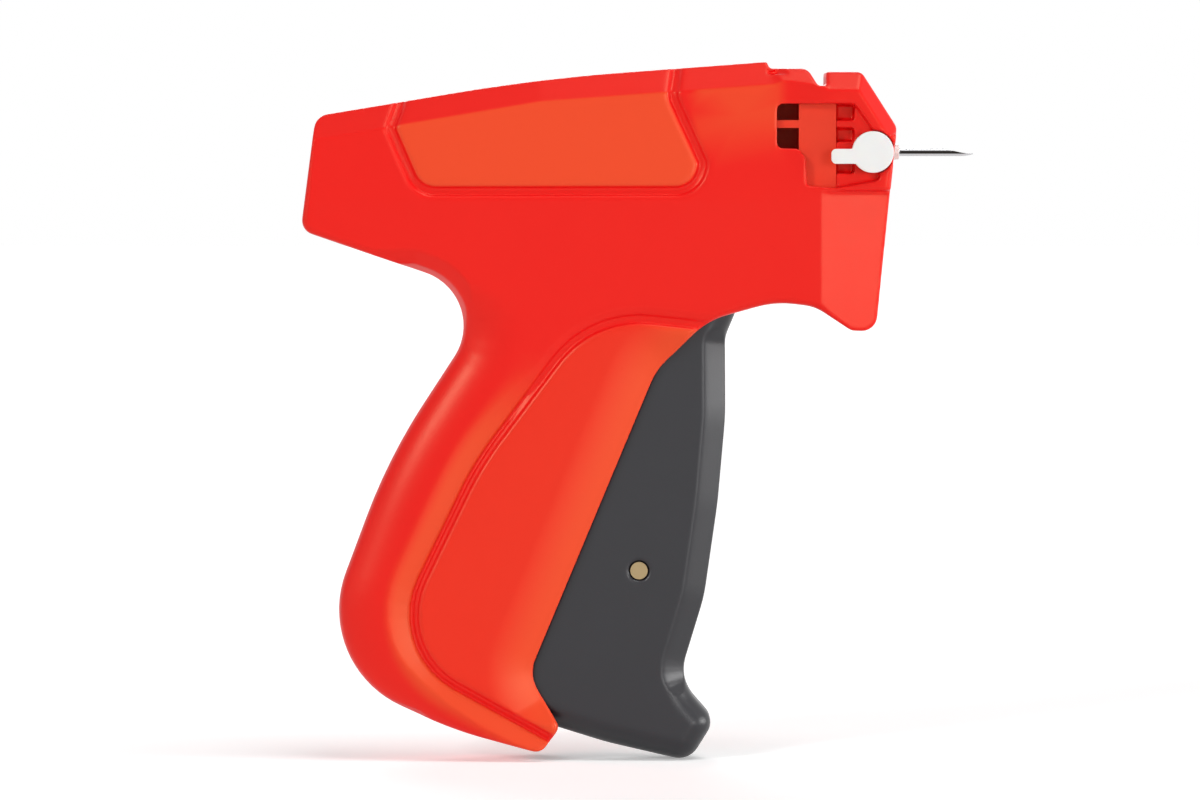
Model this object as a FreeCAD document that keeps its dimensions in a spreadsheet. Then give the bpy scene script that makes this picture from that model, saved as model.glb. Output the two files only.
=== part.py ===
import FreeCAD, Part
import math
import os

import Sketcher
from FreeCAD import Placement, Rotation, Vector

# Garment tag attacher. Frame: the origin is where the needle leaves its hub, +X points along
# the needle, +Z up, +Y to the left-hand shell. Lengths are in millimetres, angles in degrees.
SIZES = {
    # housing
    "shell_half": 11.5,  # half the thickness across the two shells
    "wall": 2.2,
    "barrel_length": 121.2,  # from the origin back to the top rear corner
    "grip_drop": 124.8,  # from the needle axis down to the foot of the grip
    "edge_radius": 1.2,
    "grip_round": 4.0,  # how far the rounding of the grip's back reaches onto its side
    "bevel_drop": 4.8,  # the long bevels along the top
    "bevel_depth": 3.2,
    "mouth_bevel_drop": 3.8,
    "brow_bevel_drop": 2.6,  # the bevel along the nose's slanted front
    "nose_pocket": 3.0,  # depth of the moulding pockets behind the window
    "nose_half": 8.0,  # half thickness at the very front
    "nose_taper_x": -16.5,  # where the sides start to narrow
    "nose_taper_z": -8.0,  # the sides are straight above this height
    "nose_block_x": -13.4,  # rear face of the solid nose
    "nose_top": 16.6,
    "mouth_top": 17.3,
    "mouth_rear": -27.2,
    "groove_width": 2.0,
    "groove_depth": 0.6,
    "slot_x": -16.35,  # slot that the tag filaments travel in
    "slot_width": 1.7,
    "slot_floor": 13.7,
    "filament_slot": 1.2,
    "boss_wall": 2.1,
    "axle_boss_wall": 1.5,
    "pin_seat": 1.5,  # how far pins reach into the shells' walls
    # screws
    "screw_r": 1.1,
    "screw_length": 16.1,
    "screw_head_r": 2.4,
    "screw_head_height": 1.4,
    "screw_recess": 0.1,
    "cross_width": 0.6,
    "cross_length": 2.8,
    "cross_depth": 0.8,
    "post_r": 3.0,
    # trigger, drawn about its pivot
    "pivot_x": -45.0,
    "pivot_z": -25.0,
    "pivot_r": 2.0,
    "trigger_half": 8.2,
    "trigger_wall": 2.0,
    "trigger_round": 4.5,
    "squeeze": 16.0,
    "link_pin_back": 9.2,  # the link pin's place behind and below the pivot
    "link_pin_drop": 61.9,
    "link_pin_r": 1.8,
    "pin_recess": 0.2,
    "ring_width": 0.4,
    "ring_depth": 0.6,
    # drive lever
    "lever_x": -61.7,
    "lever_z": -58.0,
    "lever_pin_r": 2.5,
    "lever_half": 2.5,
    "lever_slot_play": 0.65,
    "lever_fork_play": 0.62,
    "lever_rim": 2.2,
    # trigger spring
    "wire_r": 0.45,
    "coil_gap": 0.12,
    "spring_post_r": 1.5,
    "post_leg": 11.0,
    "trigger_leg": 13.5,
    # slide and rod
    "slide_z": -3.0,  # height of the slide's drive pin
    "drive_pin_r": 1.5,
    "slide_half": 5.0,
    "slide_bottom": -7.0,
    "slide_top": 6.0,
    "slide_rear": 7.6,  # from the drive pin back and forward
    "slide_front": 9.4,
    "slide_web": 2.8,
    "slide_roof": 1.8,
    "slide_rear_wall": 1.2,
    "slide_relief_z": -3.4,
    "ear_thickness": 2.1,
    "slide_gap": 0.3,  # gap between the slide and its rails
    "rail_thickness": 2.0,
    "side_rail_low": -1.0,
    "side_rail_high": 3.0,
    "rod_r": 0.5,
    "rod_tip_x": -21.8,
    "guide_thickness": 2.6,
    "guide_low": -2.0,
    "guide_high": 8.2,
    "bumper_thickness": 3.0,
    "bumper_half": 4.0,
    "stop_rib": 2.2,
    # needle and hub
    "needle_r": 0.83,
    "needle_bore_r": 0.6,
    "needle_length": 15.5,
    "needle_bevel": 6.6,
    "needle_lip": 0.2,  # what the bevel leaves of the needle's far side at the tip
    "needle_slot": 0.5,
    "shank_r": 1.0,
    "hub_r": 2.5,
    "hub_slot_gap": 0.1,
    "hub_nose_r": 1.5,
    "hub_nose_draft": 0.15,
    "hub_nose_length": 1.6,
    # lock knob
    "knob_x": -5.9,
    "knob_r": 4.3,
    "knob_proud": 1.6,
    "knob_tab_reach": 8.6,
    "knob_tab_width": 3.1,
    "knob_tab_low": -2.45,
    "knob_tab_round": 1.0,
    "cam_r": 1.9,
    "cam_half": 1.3,
    "cam_end": 1.8,
    "cam_gap": 0.1,
    # clip guide and knife
    "guide_rear": 7.7,  # from the nose block back
    "guide_bottom": -12.0,
    "guide_top": 11.3,
    "clip_right": 3.1,  # the clip's bar lies between these distances from the middle plane
    "clip_left": 0.8,
    "blade_face": 1.3,
    "blade_thickness": 0.5,
    "blade_half": 4.0,
    "blade_angle": 25.0,
    # feed
    "feed_x": -25.0,
    "feed_z": -10.0,
    "axle_r": 1.5,
    "feed_arm": 7.0,
    "teeth": 24.0,
    "sprocket_r": 7.6,
    "sprocket_root_r": 6.5,
    "sprocket_low": -2.4,
    "sprocket_thickness": 1.8,
    "ratchet_r": 5.8,
    "ratchet_root_r": 4.9,
    "ratchet_thickness": 1.6,
    "rocker_thickness": 2.0,
    "rocker_hub_wall": 1.9,
    "link_thickness": 1.8,
    "small_pin_r": 1.0,
    "pawl_reach": 8.9,  # from the feed axis to the pawl's pin
    "spring_foot_reach": 12.4,
    "pawl_angle": 211.0,
    "leaf_half": 0.15,
    # fits
    "running_gap": 0.06,
    "side_gap": 0.3,
    "open_pivot_gap": 0.2,
}

doc = FreeCAD.newDocument("TagAttacher")
sheet = doc.addObject("Spreadsheet::Sheet", "Dims")
for row, (alias, size) in enumerate(SIZES.items(), 1):
    sheet.set(f"A{row}", alias)
    sheet.set(f"B{row}", str(size))
    sheet.setAlias(f"B{row}", alias)
doc.recompute()

ALONG_Y = Rotation(Vector(1, 0, 0), -90)
ALONG_X = Rotation(Vector(0, 1, 0), 90)
UPRIGHT = Rotation()


def dim(expression):
    """The number that an expression over the sheet gives."""
    if isinstance(expression, str):
        return float(sheet.evalExpression(expression))
    return float(expression)


def bind(item, name, expression):
    """Ties a property to the sheet, or sets a plain number."""
    if isinstance(expression, str):
        item.setExpression(name, expression)
    else:
        setattr(item, name, expression)


def place(item, position, rotation=UPRIGHT):
    """Places an item at a point given by three expressions or numbers."""
    item.Placement = Placement(Vector(*(dim(value) for value in position)), rotation)
    for axis, value in zip("xyz", position):
        if isinstance(value, str):
            item.setExpression(f"Placement.Base.{axis}", value)


# Part primitives and booleans


def cylinder(name, radius, length, position, rotation=ALONG_Y):
    item = doc.addObject("Part::Cylinder", name)
    bind(item, "Radius", radius)
    bind(item, "Height", length)
    place(item, position, rotation)
    return item


def cone(name, radius_start, radius_end, length, position, rotation=ALONG_Y):
    item = doc.addObject("Part::Cone", name)
    bind(item, "Radius1", radius_start)
    bind(item, "Radius2", radius_end)
    bind(item, "Height", length)
    place(item, position, rotation)
    return item


def block(name, x_range, y_range, z_range):
    """A box between two expressions or numbers along each axis."""
    item = doc.addObject("Part::Box", name)
    for side, (low, high) in zip(("Length", "Width", "Height"), (x_range, y_range, z_range)):
        bind(item, side, f"({high}) - ({low})")
    place(item, [f"1 * ({low})" for low, _ in (x_range, y_range, z_range)])
    return item


def cut(name, base, *tools):
    tool = tools[0] if len(tools) == 1 else fuse(name + "_tools", *tools)
    item = doc.addObject("Part::Cut", name)
    item.Base = base
    item.Tool = tool
    return item


def fuse(name, *pieces):
    item = doc.addObject("Part::MultiFuse", name)
    item.Shapes = list(pieces)
    return item


# PartDesign bodies drawn in planes parallel to XZ


def new_body(name):
    return doc.addObject("PartDesign::Body", name)


def side_sketch(body, level):
    """A sketch parallel to XZ at the height y = level; sketch x is X and sketch y is Z."""
    sketch = body.newObject("Sketcher::SketchObject", body.Name + "_sketch")
    plane = [item for item in body.Origin.OriginFeatures if item.Role == "XZ_Plane"][0]
    sketch.AttachmentSupport = (plane, "")
    sketch.MapMode = "FlatFace"
    bind(sketch, "AttachmentOffset.Base.z", f"-({level})")
    return sketch


def constrain_point(sketch, geometry, point, across, up):
    for kind, value in (("DistanceX", across), ("DistanceY", up)):
        constraint = Sketcher.Constraint(kind, -1, 1, geometry, point, dim(value))
        index = sketch.addConstraint(constraint)
        if isinstance(value, str):
            sketch.setExpression(f"Constraints[{index}]", value)


def add_circle(sketch, across, up, radius):
    centre = Vector(dim(across), dim(up), 0)
    index = sketch.addGeometry(Part.Circle(centre, Vector(0, 0, 1), dim(radius)), False)
    constrain_point(sketch, index, 3, across, up)
    constraint = sketch.addConstraint(Sketcher.Constraint("Radius", index, dim(radius)))
    if isinstance(radius, str):
        sketch.setExpression(f"Constraints[{constraint}]", radius)


def rounded_corner(before, corner, after, radius):
    """Where a corner's arc starts, its middle and its end, or None if the corner is sharp."""
    if radius <= 0:
        return None
    back = (before - corner).normalize()
    ahead = (after - corner).normalize()
    half = back.getAngle(ahead) / 2
    reach = radius / math.tan(half)
    middle = (back + ahead).normalize() * (radius / math.sin(half) - radius)
    return corner + back * reach, corner + middle, corner + ahead * reach


def add_outline(sketch, corners):
    """A closed outline of lines whose corners (x, z, radius) are rounded by tangent arcs."""
    points = [Vector(dim(x), dim(z), 0) for x, z, _ in corners]
    count = len(points)
    arcs = [
        rounded_corner(points[i - 1], points[i], points[(i + 1) % count], dim(corners[i][2]))
        for i in range(count)
    ]
    starts = [arc[0] if arc else points[i] for i, arc in enumerate(arcs)]
    ends = [arc[2] if arc else points[i] for i, arc in enumerate(arcs)]
    lines = [Part.LineSegment(ends[i], starts[(i + 1) % count]) for i in range(count)]
    first_line = sketch.GeometryCount
    sketch.addGeometry(lines, False)
    constraints = []
    sizes = []
    for i, (x, z, radius) in enumerate(corners):
        line_in = first_line + (i - 1) % count
        line_out = first_line + i
        mark = sketch.addGeometry(Part.Point(points[i]), True)
        for kind, value in (("DistanceX", x), ("DistanceY", z)):
            sizes.append((len(constraints), value))
            constraints.append(Sketcher.Constraint(kind, -1, 1, mark, 1, dim(value)))
        if arcs[i] is None:
            constraints.append(Sketcher.Constraint("Coincident", line_in, 2, mark, 1))
            constraints.append(Sketcher.Constraint("Coincident", line_out, 1, mark, 1))
            continue
        arc = sketch.addGeometry(Part.ArcOfCircle(*arcs[i]), False)
        first = 1 if sketch.getPoint(arc, 1).distanceToPoint(starts[i]) < 1e-6 else 2
        constraints.append(Sketcher.Constraint("PointOnObject", mark, 1, line_in))
        constraints.append(Sketcher.Constraint("PointOnObject", mark, 1, line_out))
        constraints.append(Sketcher.Constraint("Tangent", line_in, 2, arc, first))
        constraints.append(Sketcher.Constraint("Tangent", line_out, 1, arc, 3 - first))
        sizes.append((len(constraints), radius))
        constraints.append(Sketcher.Constraint("Radius", arc, dim(radius)))
    added = sketch.addConstraint(constraints)
    for position, value in sizes:
        if isinstance(value, str):
            sketch.setExpression(f"Constraints[{added[position]}]", value)


def shape_between(body, kind, draw, low, high):
    """A pad or pocket of one drawing between the heights y = low and y = high."""
    sketch = side_sketch(body, high)
    draw(sketch)
    doc.recompute()
    feature = body.newObject(f"PartDesign::{kind}", f"{body.Name}_{kind.lower()}")
    feature.Profile = sketch
    if kind == "Pocket":
        feature.Reversed = True
    feature.setExpression("Length", f"({high}) - ({low})")
    doc.recompute()
    return feature


def pad(body, corners, low, high):
    return shape_between(body, "Pad", lambda sketch: add_outline(sketch, corners), low, high)


def pocket(body, corners, low, high):
    before = body.Shape.Volume
    feature = shape_between(body, "Pocket", lambda sketch: add_outline(sketch, corners), low, high)
    check_cut(body, before)
    return feature


def disc(body, centre, radius, low, high):
    return shape_between(body, "Pad", lambda sketch: add_circle(sketch, *centre, radius), low, high)


def hole(body, centre, radius, low, high):
    before = body.Shape.Volume
    feature = shape_between(
        body, "Pocket", lambda sketch: add_circle(sketch, *centre, radius), low, high
    )
    check_cut(body, before)
    return feature


def check_cut(body, before):
    if not body.Shape.Volume < before - 1e-3:
        raise RuntimeError(f"a pocket in {body.Name} cuts nothing")


def set_tip(body, feature):
    body.Tip = feature
    doc.recompute()


def polar_pattern(body, feature, count):
    """Repeats a feature around the body's own Y axis."""
    axis = [item for item in body.Origin.OriginFeatures if item.Role == "Y_Axis"][0]
    pattern = body.newObject("PartDesign::PolarPattern", body.Name + "_pattern")
    pattern.Originals = [feature]
    pattern.Axis = (axis, [""])
    pattern.Angle = 360
    bind(pattern, "Occurrences", count)
    set_tip(body, pattern)
    return pattern


# Helpers for corner lists


def polar(centre, radius, angle):
    """A point (x, z) at an angle in degrees, measured from +X towards +Z."""
    turn = math.radians(angle)
    return centre[0] + radius * math.cos(turn), centre[1] + radius * math.sin(turn)


def swing(point, pivot, angle):
    """A point (x, z) turned about an axis along +Y by an angle in degrees."""
    turn = math.radians(angle)
    x, z = point[0] - pivot[0], point[1] - pivot[1]
    return (
        pivot[0] + x * math.cos(turn) + z * math.sin(turn),
        pivot[1] - x * math.sin(turn) + z * math.cos(turn),
    )


def strap(start, end, radius):
    """The four rounded corners of a strap with round ends about two points."""
    length = math.dist(start, end)
    along = ((end[0] - start[0]) / length * radius, (end[1] - start[1]) / length * radius)
    across = (-along[1], along[0])
    rounding = 0.98 * radius
    return [
        (start[0] - along[0] + across[0], start[1] - along[1] + across[1], rounding),
        (end[0] + along[0] + across[0], end[1] + along[1] + across[1], rounding),
        (end[0] + along[0] - across[0], end[1] + along[1] - across[1], rounding),
        (start[0] - along[0] - across[0], start[1] - along[1] - across[1], rounding),
    ]


def rectangle(x_range, z_range, radius=0):
    return [
        (x_range[0], z_range[0], radius),
        (x_range[0], z_range[1], radius),
        (x_range[1], z_range[1], radius),
        (x_range[1], z_range[0], radius),
    ]


def inset(corners, gap):
    """Corners of a clockwise outline moved inwards by a gap, with radii that stay concentric."""
    corners = [tuple(dim(value) for value in corner) for corner in corners]
    count = len(corners)
    moved = []
    for i in range(count):
        before, here, after = corners[i - 1], corners[i], corners[(i + 1) % count]
        first = math.atan2(here[1] - before[1], here[0] - before[0])
        second = math.atan2(after[1] - here[1], after[0] - here[0])
        turn = math.remainder(second - first, 2 * math.pi)
        reach = gap / math.cos(turn / 2)
        inward = first + turn / 2 - math.pi / 2
        radius = here[2] - gap if turn < 0 else here[2] + gap
        moved.append(
            (
                here[0] + reach * math.cos(inward),
                here[1] + reach * math.sin(inward),
                max(radius, SMALL_CORNER),
            )
        )
    return moved


SMALL_CORNER = 0.4
DEEP = 60.0  # length of cutters that run clear of the part
INSIDE = "(Dims.shell_half - Dims.wall)"
OUTSIDE = "(Dims.shell_half + 1)"
ROOT = f"{INSIDE} + 0.1"  # ribs and bosses grow out of the wall from here
SEAT = f"({INSIDE} + Dims.pin_seat)"
SLOT_REAR = "(Dims.slot_x - Dims.slot_width / 2)"
SLOT_FRONT = "(Dims.slot_x + Dims.slot_width / 2)"
SLOT_HALF = "Dims.filament_slot / 2"
CHEEK = "(Dims.trigger_half - Dims.trigger_wall)"
LEVER_PIN_END = f"({CHEEK} - Dims.side_gap)"
LEVER_SIDE = "(Dims.lever_half + Dims.side_gap)"
HUB_BORE = "Dims.hub_r + Dims.running_gap"
LINK_PIN_X = "(Dims.pivot_x - Dims.link_pin_back)"
LINK_PIN_Z = "(Dims.pivot_z - Dims.link_pin_drop)"
SLIDE_X = (
    f"(Dims.lever_x - (Dims.slide_z - Dims.lever_z) * ({LINK_PIN_X} - Dims.lever_x)"
    f" / (Dims.lever_z - {LINK_PIN_Z}))"
)

pivot = (dim("Dims.pivot_x"), dim("Dims.pivot_z"))
link_pin = (dim(LINK_PIN_X), dim(LINK_PIN_Z))
lever_pivot = (dim("Dims.lever_x"), dim("Dims.lever_z"))
feed_axis = (dim("Dims.feed_x"), dim("Dims.feed_z"))
squeeze = dim("Dims.squeeze")


def lever_lean(pin):
    """The lever's lean in degrees, about +Y from upright, with the link pin at a point."""
    return -math.degrees(math.atan2(pin[0] - lever_pivot[0], lever_pivot[1] - pin[1]))


lever_rest = lever_lean(link_pin)
lever_end = lever_lean(swing(link_pin, pivot, squeeze))
upper_arm = dim("Dims.slide_z - Dims.lever_z")
stroke = upper_arm * (math.tan(math.radians(lever_end)) - math.tan(math.radians(lever_rest)))

# The feed's link and the two arms that it joins form a parallelogram, which is square to its
# arms halfway through the squeeze.
arm_lean = math.radians(squeeze / 2)
arm = (dim("Dims.feed_arm") * math.sin(arm_lean), dim("Dims.feed_arm") * math.cos(arm_lean))
horn = (pivot[0] - arm[0], pivot[1] + arm[1])
rocker_pin = (feed_axis[0] - arm[0], feed_axis[1] - arm[1])
pawl_pivot = polar(feed_axis, dim("Dims.pawl_reach"), dim("Dims.pawl_angle"))
spring_foot = polar(feed_axis, dim("Dims.spring_foot_reach"), dim("Dims.pawl_angle"))

# The feed's pieces are stacked along Y, the sprocket first.
SPROCKET_Y = ("1 * Dims.sprocket_low", "Dims.sprocket_low + Dims.sprocket_thickness")
RATCHET_Y = (SPROCKET_Y[1], f"{SPROCKET_Y[1]} + Dims.ratchet_thickness")
ROCKER_LOW = f"({RATCHET_Y[1]} + Dims.side_gap)"
ROCKER_Y = (ROCKER_LOW, f"({ROCKER_LOW} + Dims.rocker_thickness)")
LINK_LOW = f"({ROCKER_Y[1]} + Dims.side_gap)"
LINK_Y = (LINK_LOW, f"({LINK_LOW} + Dims.link_thickness)")
PAWL_Y = (f"{RATCHET_Y[0]} + 0.1", f"{RATCHET_Y[1]} - 0.1")
ROCKER_HUB_END = f"({LINK_Y[1]} + 0.1)"

NOTCH = 172.0  # the angle of the ratchet notch that the pawl stands in
LAND = 1.0  # degrees of flat at each tooth's crest
pitch = 360.0 / dim("Dims.teeth")
ratchet_r, ratchet_root = dim("Dims.ratchet_r"), dim("Dims.ratchet_root_r")
DETENT_NOTCHES = 7  # from the pawl's notch to the detent's
DETENT_POST_R = 1.6
detent_notch = NOTCH + DETENT_NOTCHES * pitch
detent_post = polar(feed_axis, dim("Dims.sprocket_r") + 3.0, detent_notch + 18.5)

# Housing. Outlines run clockwise seen with +X to the right and +Z up, as (x, z, radius).

TOP_REAR = ("-Dims.barrel_length", 7.45, 3.2)
CROWN = (-75.0, 15.2, 400.0)
MOUTH_REAR = ("Dims.mouth_rear - 0.5", 18.7, 0)
NOSE_TOP = (-8.1, "1 * Dims.nose_top", 1.8)
BROW = (-0.8, 5.2, 2.0)
CHIN = (-5.1, -37.2, 3.2)
GRIP_TOP = (-50.6, -45.2, 14.0)
GRIP_FRONT = (-77.0, "-Dims.grip_drop + 16.4", 7.0)
GRIP_TOE = (-70.6, "-Dims.grip_drop + 5.4", 2.0)
GRIP_FOOT = (-74.6, "-Dims.grip_drop", 2.6)
GRIP_SOLE = (-93.5, "-Dims.grip_drop + 5.0", 80.0)
GRIP_HEEL = (-122.4, "-Dims.grip_drop + 18.2", 22.0)
GRIP_BACK = (-106.2, -63.3, 120.0)
GRIP_WEB = (-84.4, -29.9, 11.6)
REAR_FOOT = ("-Dims.barrel_length - 3.1", -16.2, 3.0)

OUTLINE = [
    TOP_REAR,
    CROWN,
    MOUTH_REAR,
    ("1 * Dims.mouth_rear", "1 * Dims.mouth_top", 0),
    (-19.3, "1 * Dims.mouth_top", 2.4),
    (SLOT_REAR, "1 * Dims.slot_floor", 0),
    (SLOT_FRONT, "1 * Dims.slot_floor", 0),
    (SLOT_FRONT, "1 * Dims.nose_top", 0),
    NOSE_TOP,
    BROW,
    CHIN,
    (-10.2, -37.0, 2.4),
    (-17.8, -32.0, 9.0),
    (-26.0, -31.0, 20.0),
    (-40.0, -34.9, 16.0),
    GRIP_TOP,
    GRIP_FRONT,
    GRIP_TOE,
    GRIP_FOOT,
    GRIP_SOLE,
    GRIP_HEEL,
    GRIP_BACK,
    GRIP_WEB,
    REAR_FOOT,
]

# The hollow follows the outline one wall inside it, stops at the nose block and runs out of
# the grip's front, where the trigger stands.
HOLLOW_FRONT = "Dims.nose_block_x + Dims.wall"
HOLLOW = [
    TOP_REAR,
    CROWN,
    ("Dims.mouth_rear - 0.5", 18.5, 1.5),
    (-18.5, "1 * Dims.slot_floor + 0.1", 1.5),
    (HOLLOW_FRONT, "1 * Dims.slot_floor + 0.1", 0.5),
    (HOLLOW_FRONT, -31.4, 0.8),
    (-31.4, -31.9, 0.4),
    (-26.0, "-Dims.grip_drop - 10.2", 0.4),
    (-79.0, "-Dims.grip_drop - 10.2", 0.4),
    (-79.0, "-Dims.grip_drop + 1.2", 0.4),
    GRIP_SOLE,
    GRIP_HEEL,
    GRIP_BACK,
    GRIP_WEB,
    REAR_FOOT,
]

SCREWS = [
    (dim("-Dims.barrel_length + 8.2"), -5.0),
    (-107.0, dim("-Dims.grip_drop + 32.8")),
    (-91.5, -51.0),
    (feed_axis[0] + 2.0, feed_axis[1] - 14.5),
    (-34.5, 11.6),
]
BRACKET_ROOT = (-84.0, -52.5)  # where the lever's bracket meets the shells behind the trigger
BRACKET_HALF = 8.0
RAIL_X = (f"{SLIDE_X} - Dims.slide_rear - 0.6", "Dims.feed_x - 6.5")
LOWER_RAIL_TOP = "(Dims.slide_bottom - Dims.slide_gap)"
UPPER_RAIL_LOW = "(Dims.slide_top + Dims.slide_gap)"
LOWER_RAIL_Z = (f"{LOWER_RAIL_TOP} - Dims.rail_thickness", LOWER_RAIL_TOP)
UPPER_RAIL_Z = (UPPER_RAIL_LOW, f"{UPPER_RAIL_LOW} + Dims.rail_thickness")
BUMPER_FRONT = f"({SLIDE_X} - Dims.slide_rear - Dims.side_gap)"
BUMPER_REAR = f"({BUMPER_FRONT} - Dims.bumper_thickness)"
STOP_RIB_Z = (-14.0, 11.0)
LEG_HEIGHT = "(Dims.pivot_z + Dims.pivot_r + 2 * Dims.wire_r + Dims.coil_gap)"
spring_post = (dim("Dims.pivot_x - 8.5"), dim(f"{LEG_HEIGHT} + Dims.spring_post_r + 0.18"))


def span(side, inner, outer):
    """The y range between two distances from the middle plane, left (+1) or right (-1)."""
    if side > 0:
        return f"1 * ({inner})", f"1 * ({outer})"
    return f"-({outer})", f"-({inner})"


def round_rim(body, feature, level):
    """Rounds the long outer rim on both sides of the clip mouth's sharp steps."""
    mouth = (dim(MOUTH_REAR[0]) - 0.05, dim(SLOT_FRONT) + 0.1)
    names = []
    for index, edge in enumerate(feature.Shape.Edges, 1):
        box = edge.BoundBox
        in_rim = abs(box.YMin - level) < 1e-4 and abs(box.YMax - level) < 1e-4
        by_mouth = box.XMin > mouth[0] and box.XMax < mouth[1] and box.ZMin > 10
        if in_rim and not by_mouth:
            names.append(f"Edge{index}")
    rounding = body.newObject("PartDesign::Fillet", body.Name + "_rim")
    rounding.Base = (feature, names)
    rounding.setExpression("Radius", "Dims.edge_radius")
    doc.recompute()


def add_ribs(body, side):
    """The slide's rails, the stop rib behind it and the bracket that holds the lever's pin."""
    side_rail_z = ("1 * Dims.side_rail_low", "1 * Dims.side_rail_high")
    bracket = strap(lever_pivot, BRACKET_ROOT, dim("Dims.lever_pin_r + Dims.boss_wall"))
    root_x = (BRACKET_ROOT[0] - BRACKET_HALF, BRACKET_ROOT[0] + BRACKET_HALF)
    root_z = (BRACKET_ROOT[1] - 5.5, BRACKET_ROOT[1] + 5.5)
    ribs = [
        (rectangle(RAIL_X, LOWER_RAIL_Z), f"{LEVER_SIDE} + 0.4", ROOT),
        (rectangle(RAIL_X, UPPER_RAIL_Z), "0", ROOT),
        (rectangle(RAIL_X, side_rail_z), "Dims.slide_half + Dims.slide_gap", ROOT),
        (rectangle((f"{BUMPER_REAR} - Dims.stop_rib", BUMPER_REAR), STOP_RIB_Z), "0", ROOT),
        (bracket, LEVER_SIDE, LEVER_PIN_END),
        (rectangle(root_x, root_z), LEVER_SIDE, ROOT),
    ]
    for corners, inner, outer in ribs:
        pad(body, corners, *span(side, inner, outer))


def add_bosses(body, side):
    """Posts for the screws and bosses for the pins, with the pins' holes."""
    trigger_boss = "Dims.trigger_half + Dims.side_gap"
    axle_boss = f"{ROCKER_HUB_END} + Dims.side_gap" if side > 0 else "0.3 - Dims.sprocket_low"
    disc(body, pivot, "Dims.pivot_r + Dims.boss_wall", *span(side, trigger_boss, ROOT))
    disc(body, feed_axis, "Dims.axle_r + Dims.axle_boss_wall", *span(side, axle_boss, ROOT))
    for centre in SCREWS:
        disc(body, centre, "Dims.post_r", *span(side, "0", ROOT))
    hole(body, pivot, "Dims.pivot_r + Dims.running_gap", *span(side, "Dims.lever_half", SEAT))
    hole(body, lever_pivot, "1 * Dims.lever_pin_r", *span(side, "2", f"{LEVER_PIN_END} + 1"))
    hole(body, feed_axis, "1 * Dims.axle_r", *span(side, "2", SEAT))


def housing_body(name, side):
    """One shell before its bevels: outer form, hollow, ribs and bosses."""
    body = new_body(name)
    base = pad(body, OUTLINE, *span(side, "0", "Dims.shell_half"))
    round_rim(body, base, side * dim("Dims.shell_half"))
    pocket(body, inset(HOLLOW, dim("Dims.wall")), *span(side, "0", INSIDE))
    add_ribs(body, side)
    add_bosses(body, side)
    return body


def bevel_cutter(name, side, start, end, drop):
    """A slab that bevels the edge from start to end (x, z) of the shell's side by a drop."""
    depth = dim("Dims.bevel_depth")
    length = math.dist(start, end)
    along = Vector((end[0] - start[0]) / length, 0, (end[1] - start[1]) / length)
    down = Vector(drop * along.z, side * depth, -drop * along.x).normalize()
    if side < 0:
        along = along * -1
        start, end = end, start
    out = along.cross(down).normalize()
    corner = Vector(start[0], side * (dim("Dims.shell_half") - depth), start[1])
    item = doc.addObject("Part::Box", name)
    item.Length = length
    item.Width = DEEP / 2
    item.Height = DEEP / 4
    item.Placement = Placement(corner - down * DEEP / 4, Rotation(along, down, out, "ZXY"))
    return item


def top_bevels(name, side):
    """Cutters for the bevels along the top of the barrel, the clip mouth and the nose."""
    drop, mouth_drop = dim("Dims.bevel_drop"), dim("Dims.mouth_bevel_drop")
    rear = (dim(TOP_REAR[0]) - 2.0, TOP_REAR[1] - 0.35)
    crown = (CROWN[0] + 1.0, CROWN[1] - 0.25)
    step = (dim("Dims.mouth_rear"), MOUTH_REAR[1])
    mouth = (dim(MOUTH_REAR[0]), dim("Dims.mouth_top"))
    slot = (dim(SLOT_FRONT), dim("Dims.mouth_top"))
    nose = (dim(SLOT_FRONT), dim("Dims.nose_top"))
    nose_end = (NOSE_TOP[0] + 1.6, dim("Dims.nose_top"))
    crest = (NOSE_TOP[0], dim(NOSE_TOP[1]))
    brow = (BROW[0] + 0.5, BROW[1] - 0.8)
    runs = [(rear, crown, drop), (crown, step, drop), (mouth, slot, mouth_drop)]
    runs.append((nose, nose_end, mouth_drop))
    runs.append((crest, brow, dim("Dims.brow_bevel_drop")))
    return [
        bevel_cutter(f"{name}_bevel_{index}", side, start, end, fall)
        for index, (start, end, fall) in enumerate(runs)
    ]


def nose_taper(name, side):
    """A slab that narrows the lower nose towards its front face."""
    rear = dim("Dims.nose_taper_x")
    front_x = -1.0
    height = dim("Dims.nose_taper_z") - CHIN[1] + 4.8
    along = Vector(front_x - rear, side * dim("Dims.nose_half - Dims.shell_half"), 0).normalize()
    up = Vector(0, 0, 1)
    across = up.cross(along)
    corner = Vector(rear, side * dim("Dims.shell_half"), dim("Dims.nose_taper_z") - height)
    if side < 0:
        corner = corner - across * DEEP / 4
    item = doc.addObject("Part::Box", name)
    item.Length = DEEP
    item.Width = DEEP / 4
    item.Height = height
    item.Placement = Placement(corner, Rotation(along, across, up, "ZXY"))
    return item


# The band that the grip's back is rounded with: from the foot round the heel and up to the web
GRIP_BAND = [
    (-100.0, "-Dims.grip_drop + 8.0", 0),
    GRIP_HEEL,
    GRIP_BACK,
    GRIP_WEB,
    (-101.0, -24.2, 0),
    (-150.0, -25.2, 0),
    (-150.0, "-Dims.grip_drop - 14", 0),
    (-67.8, "-Dims.grip_drop - 13.8", 0),
]


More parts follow.
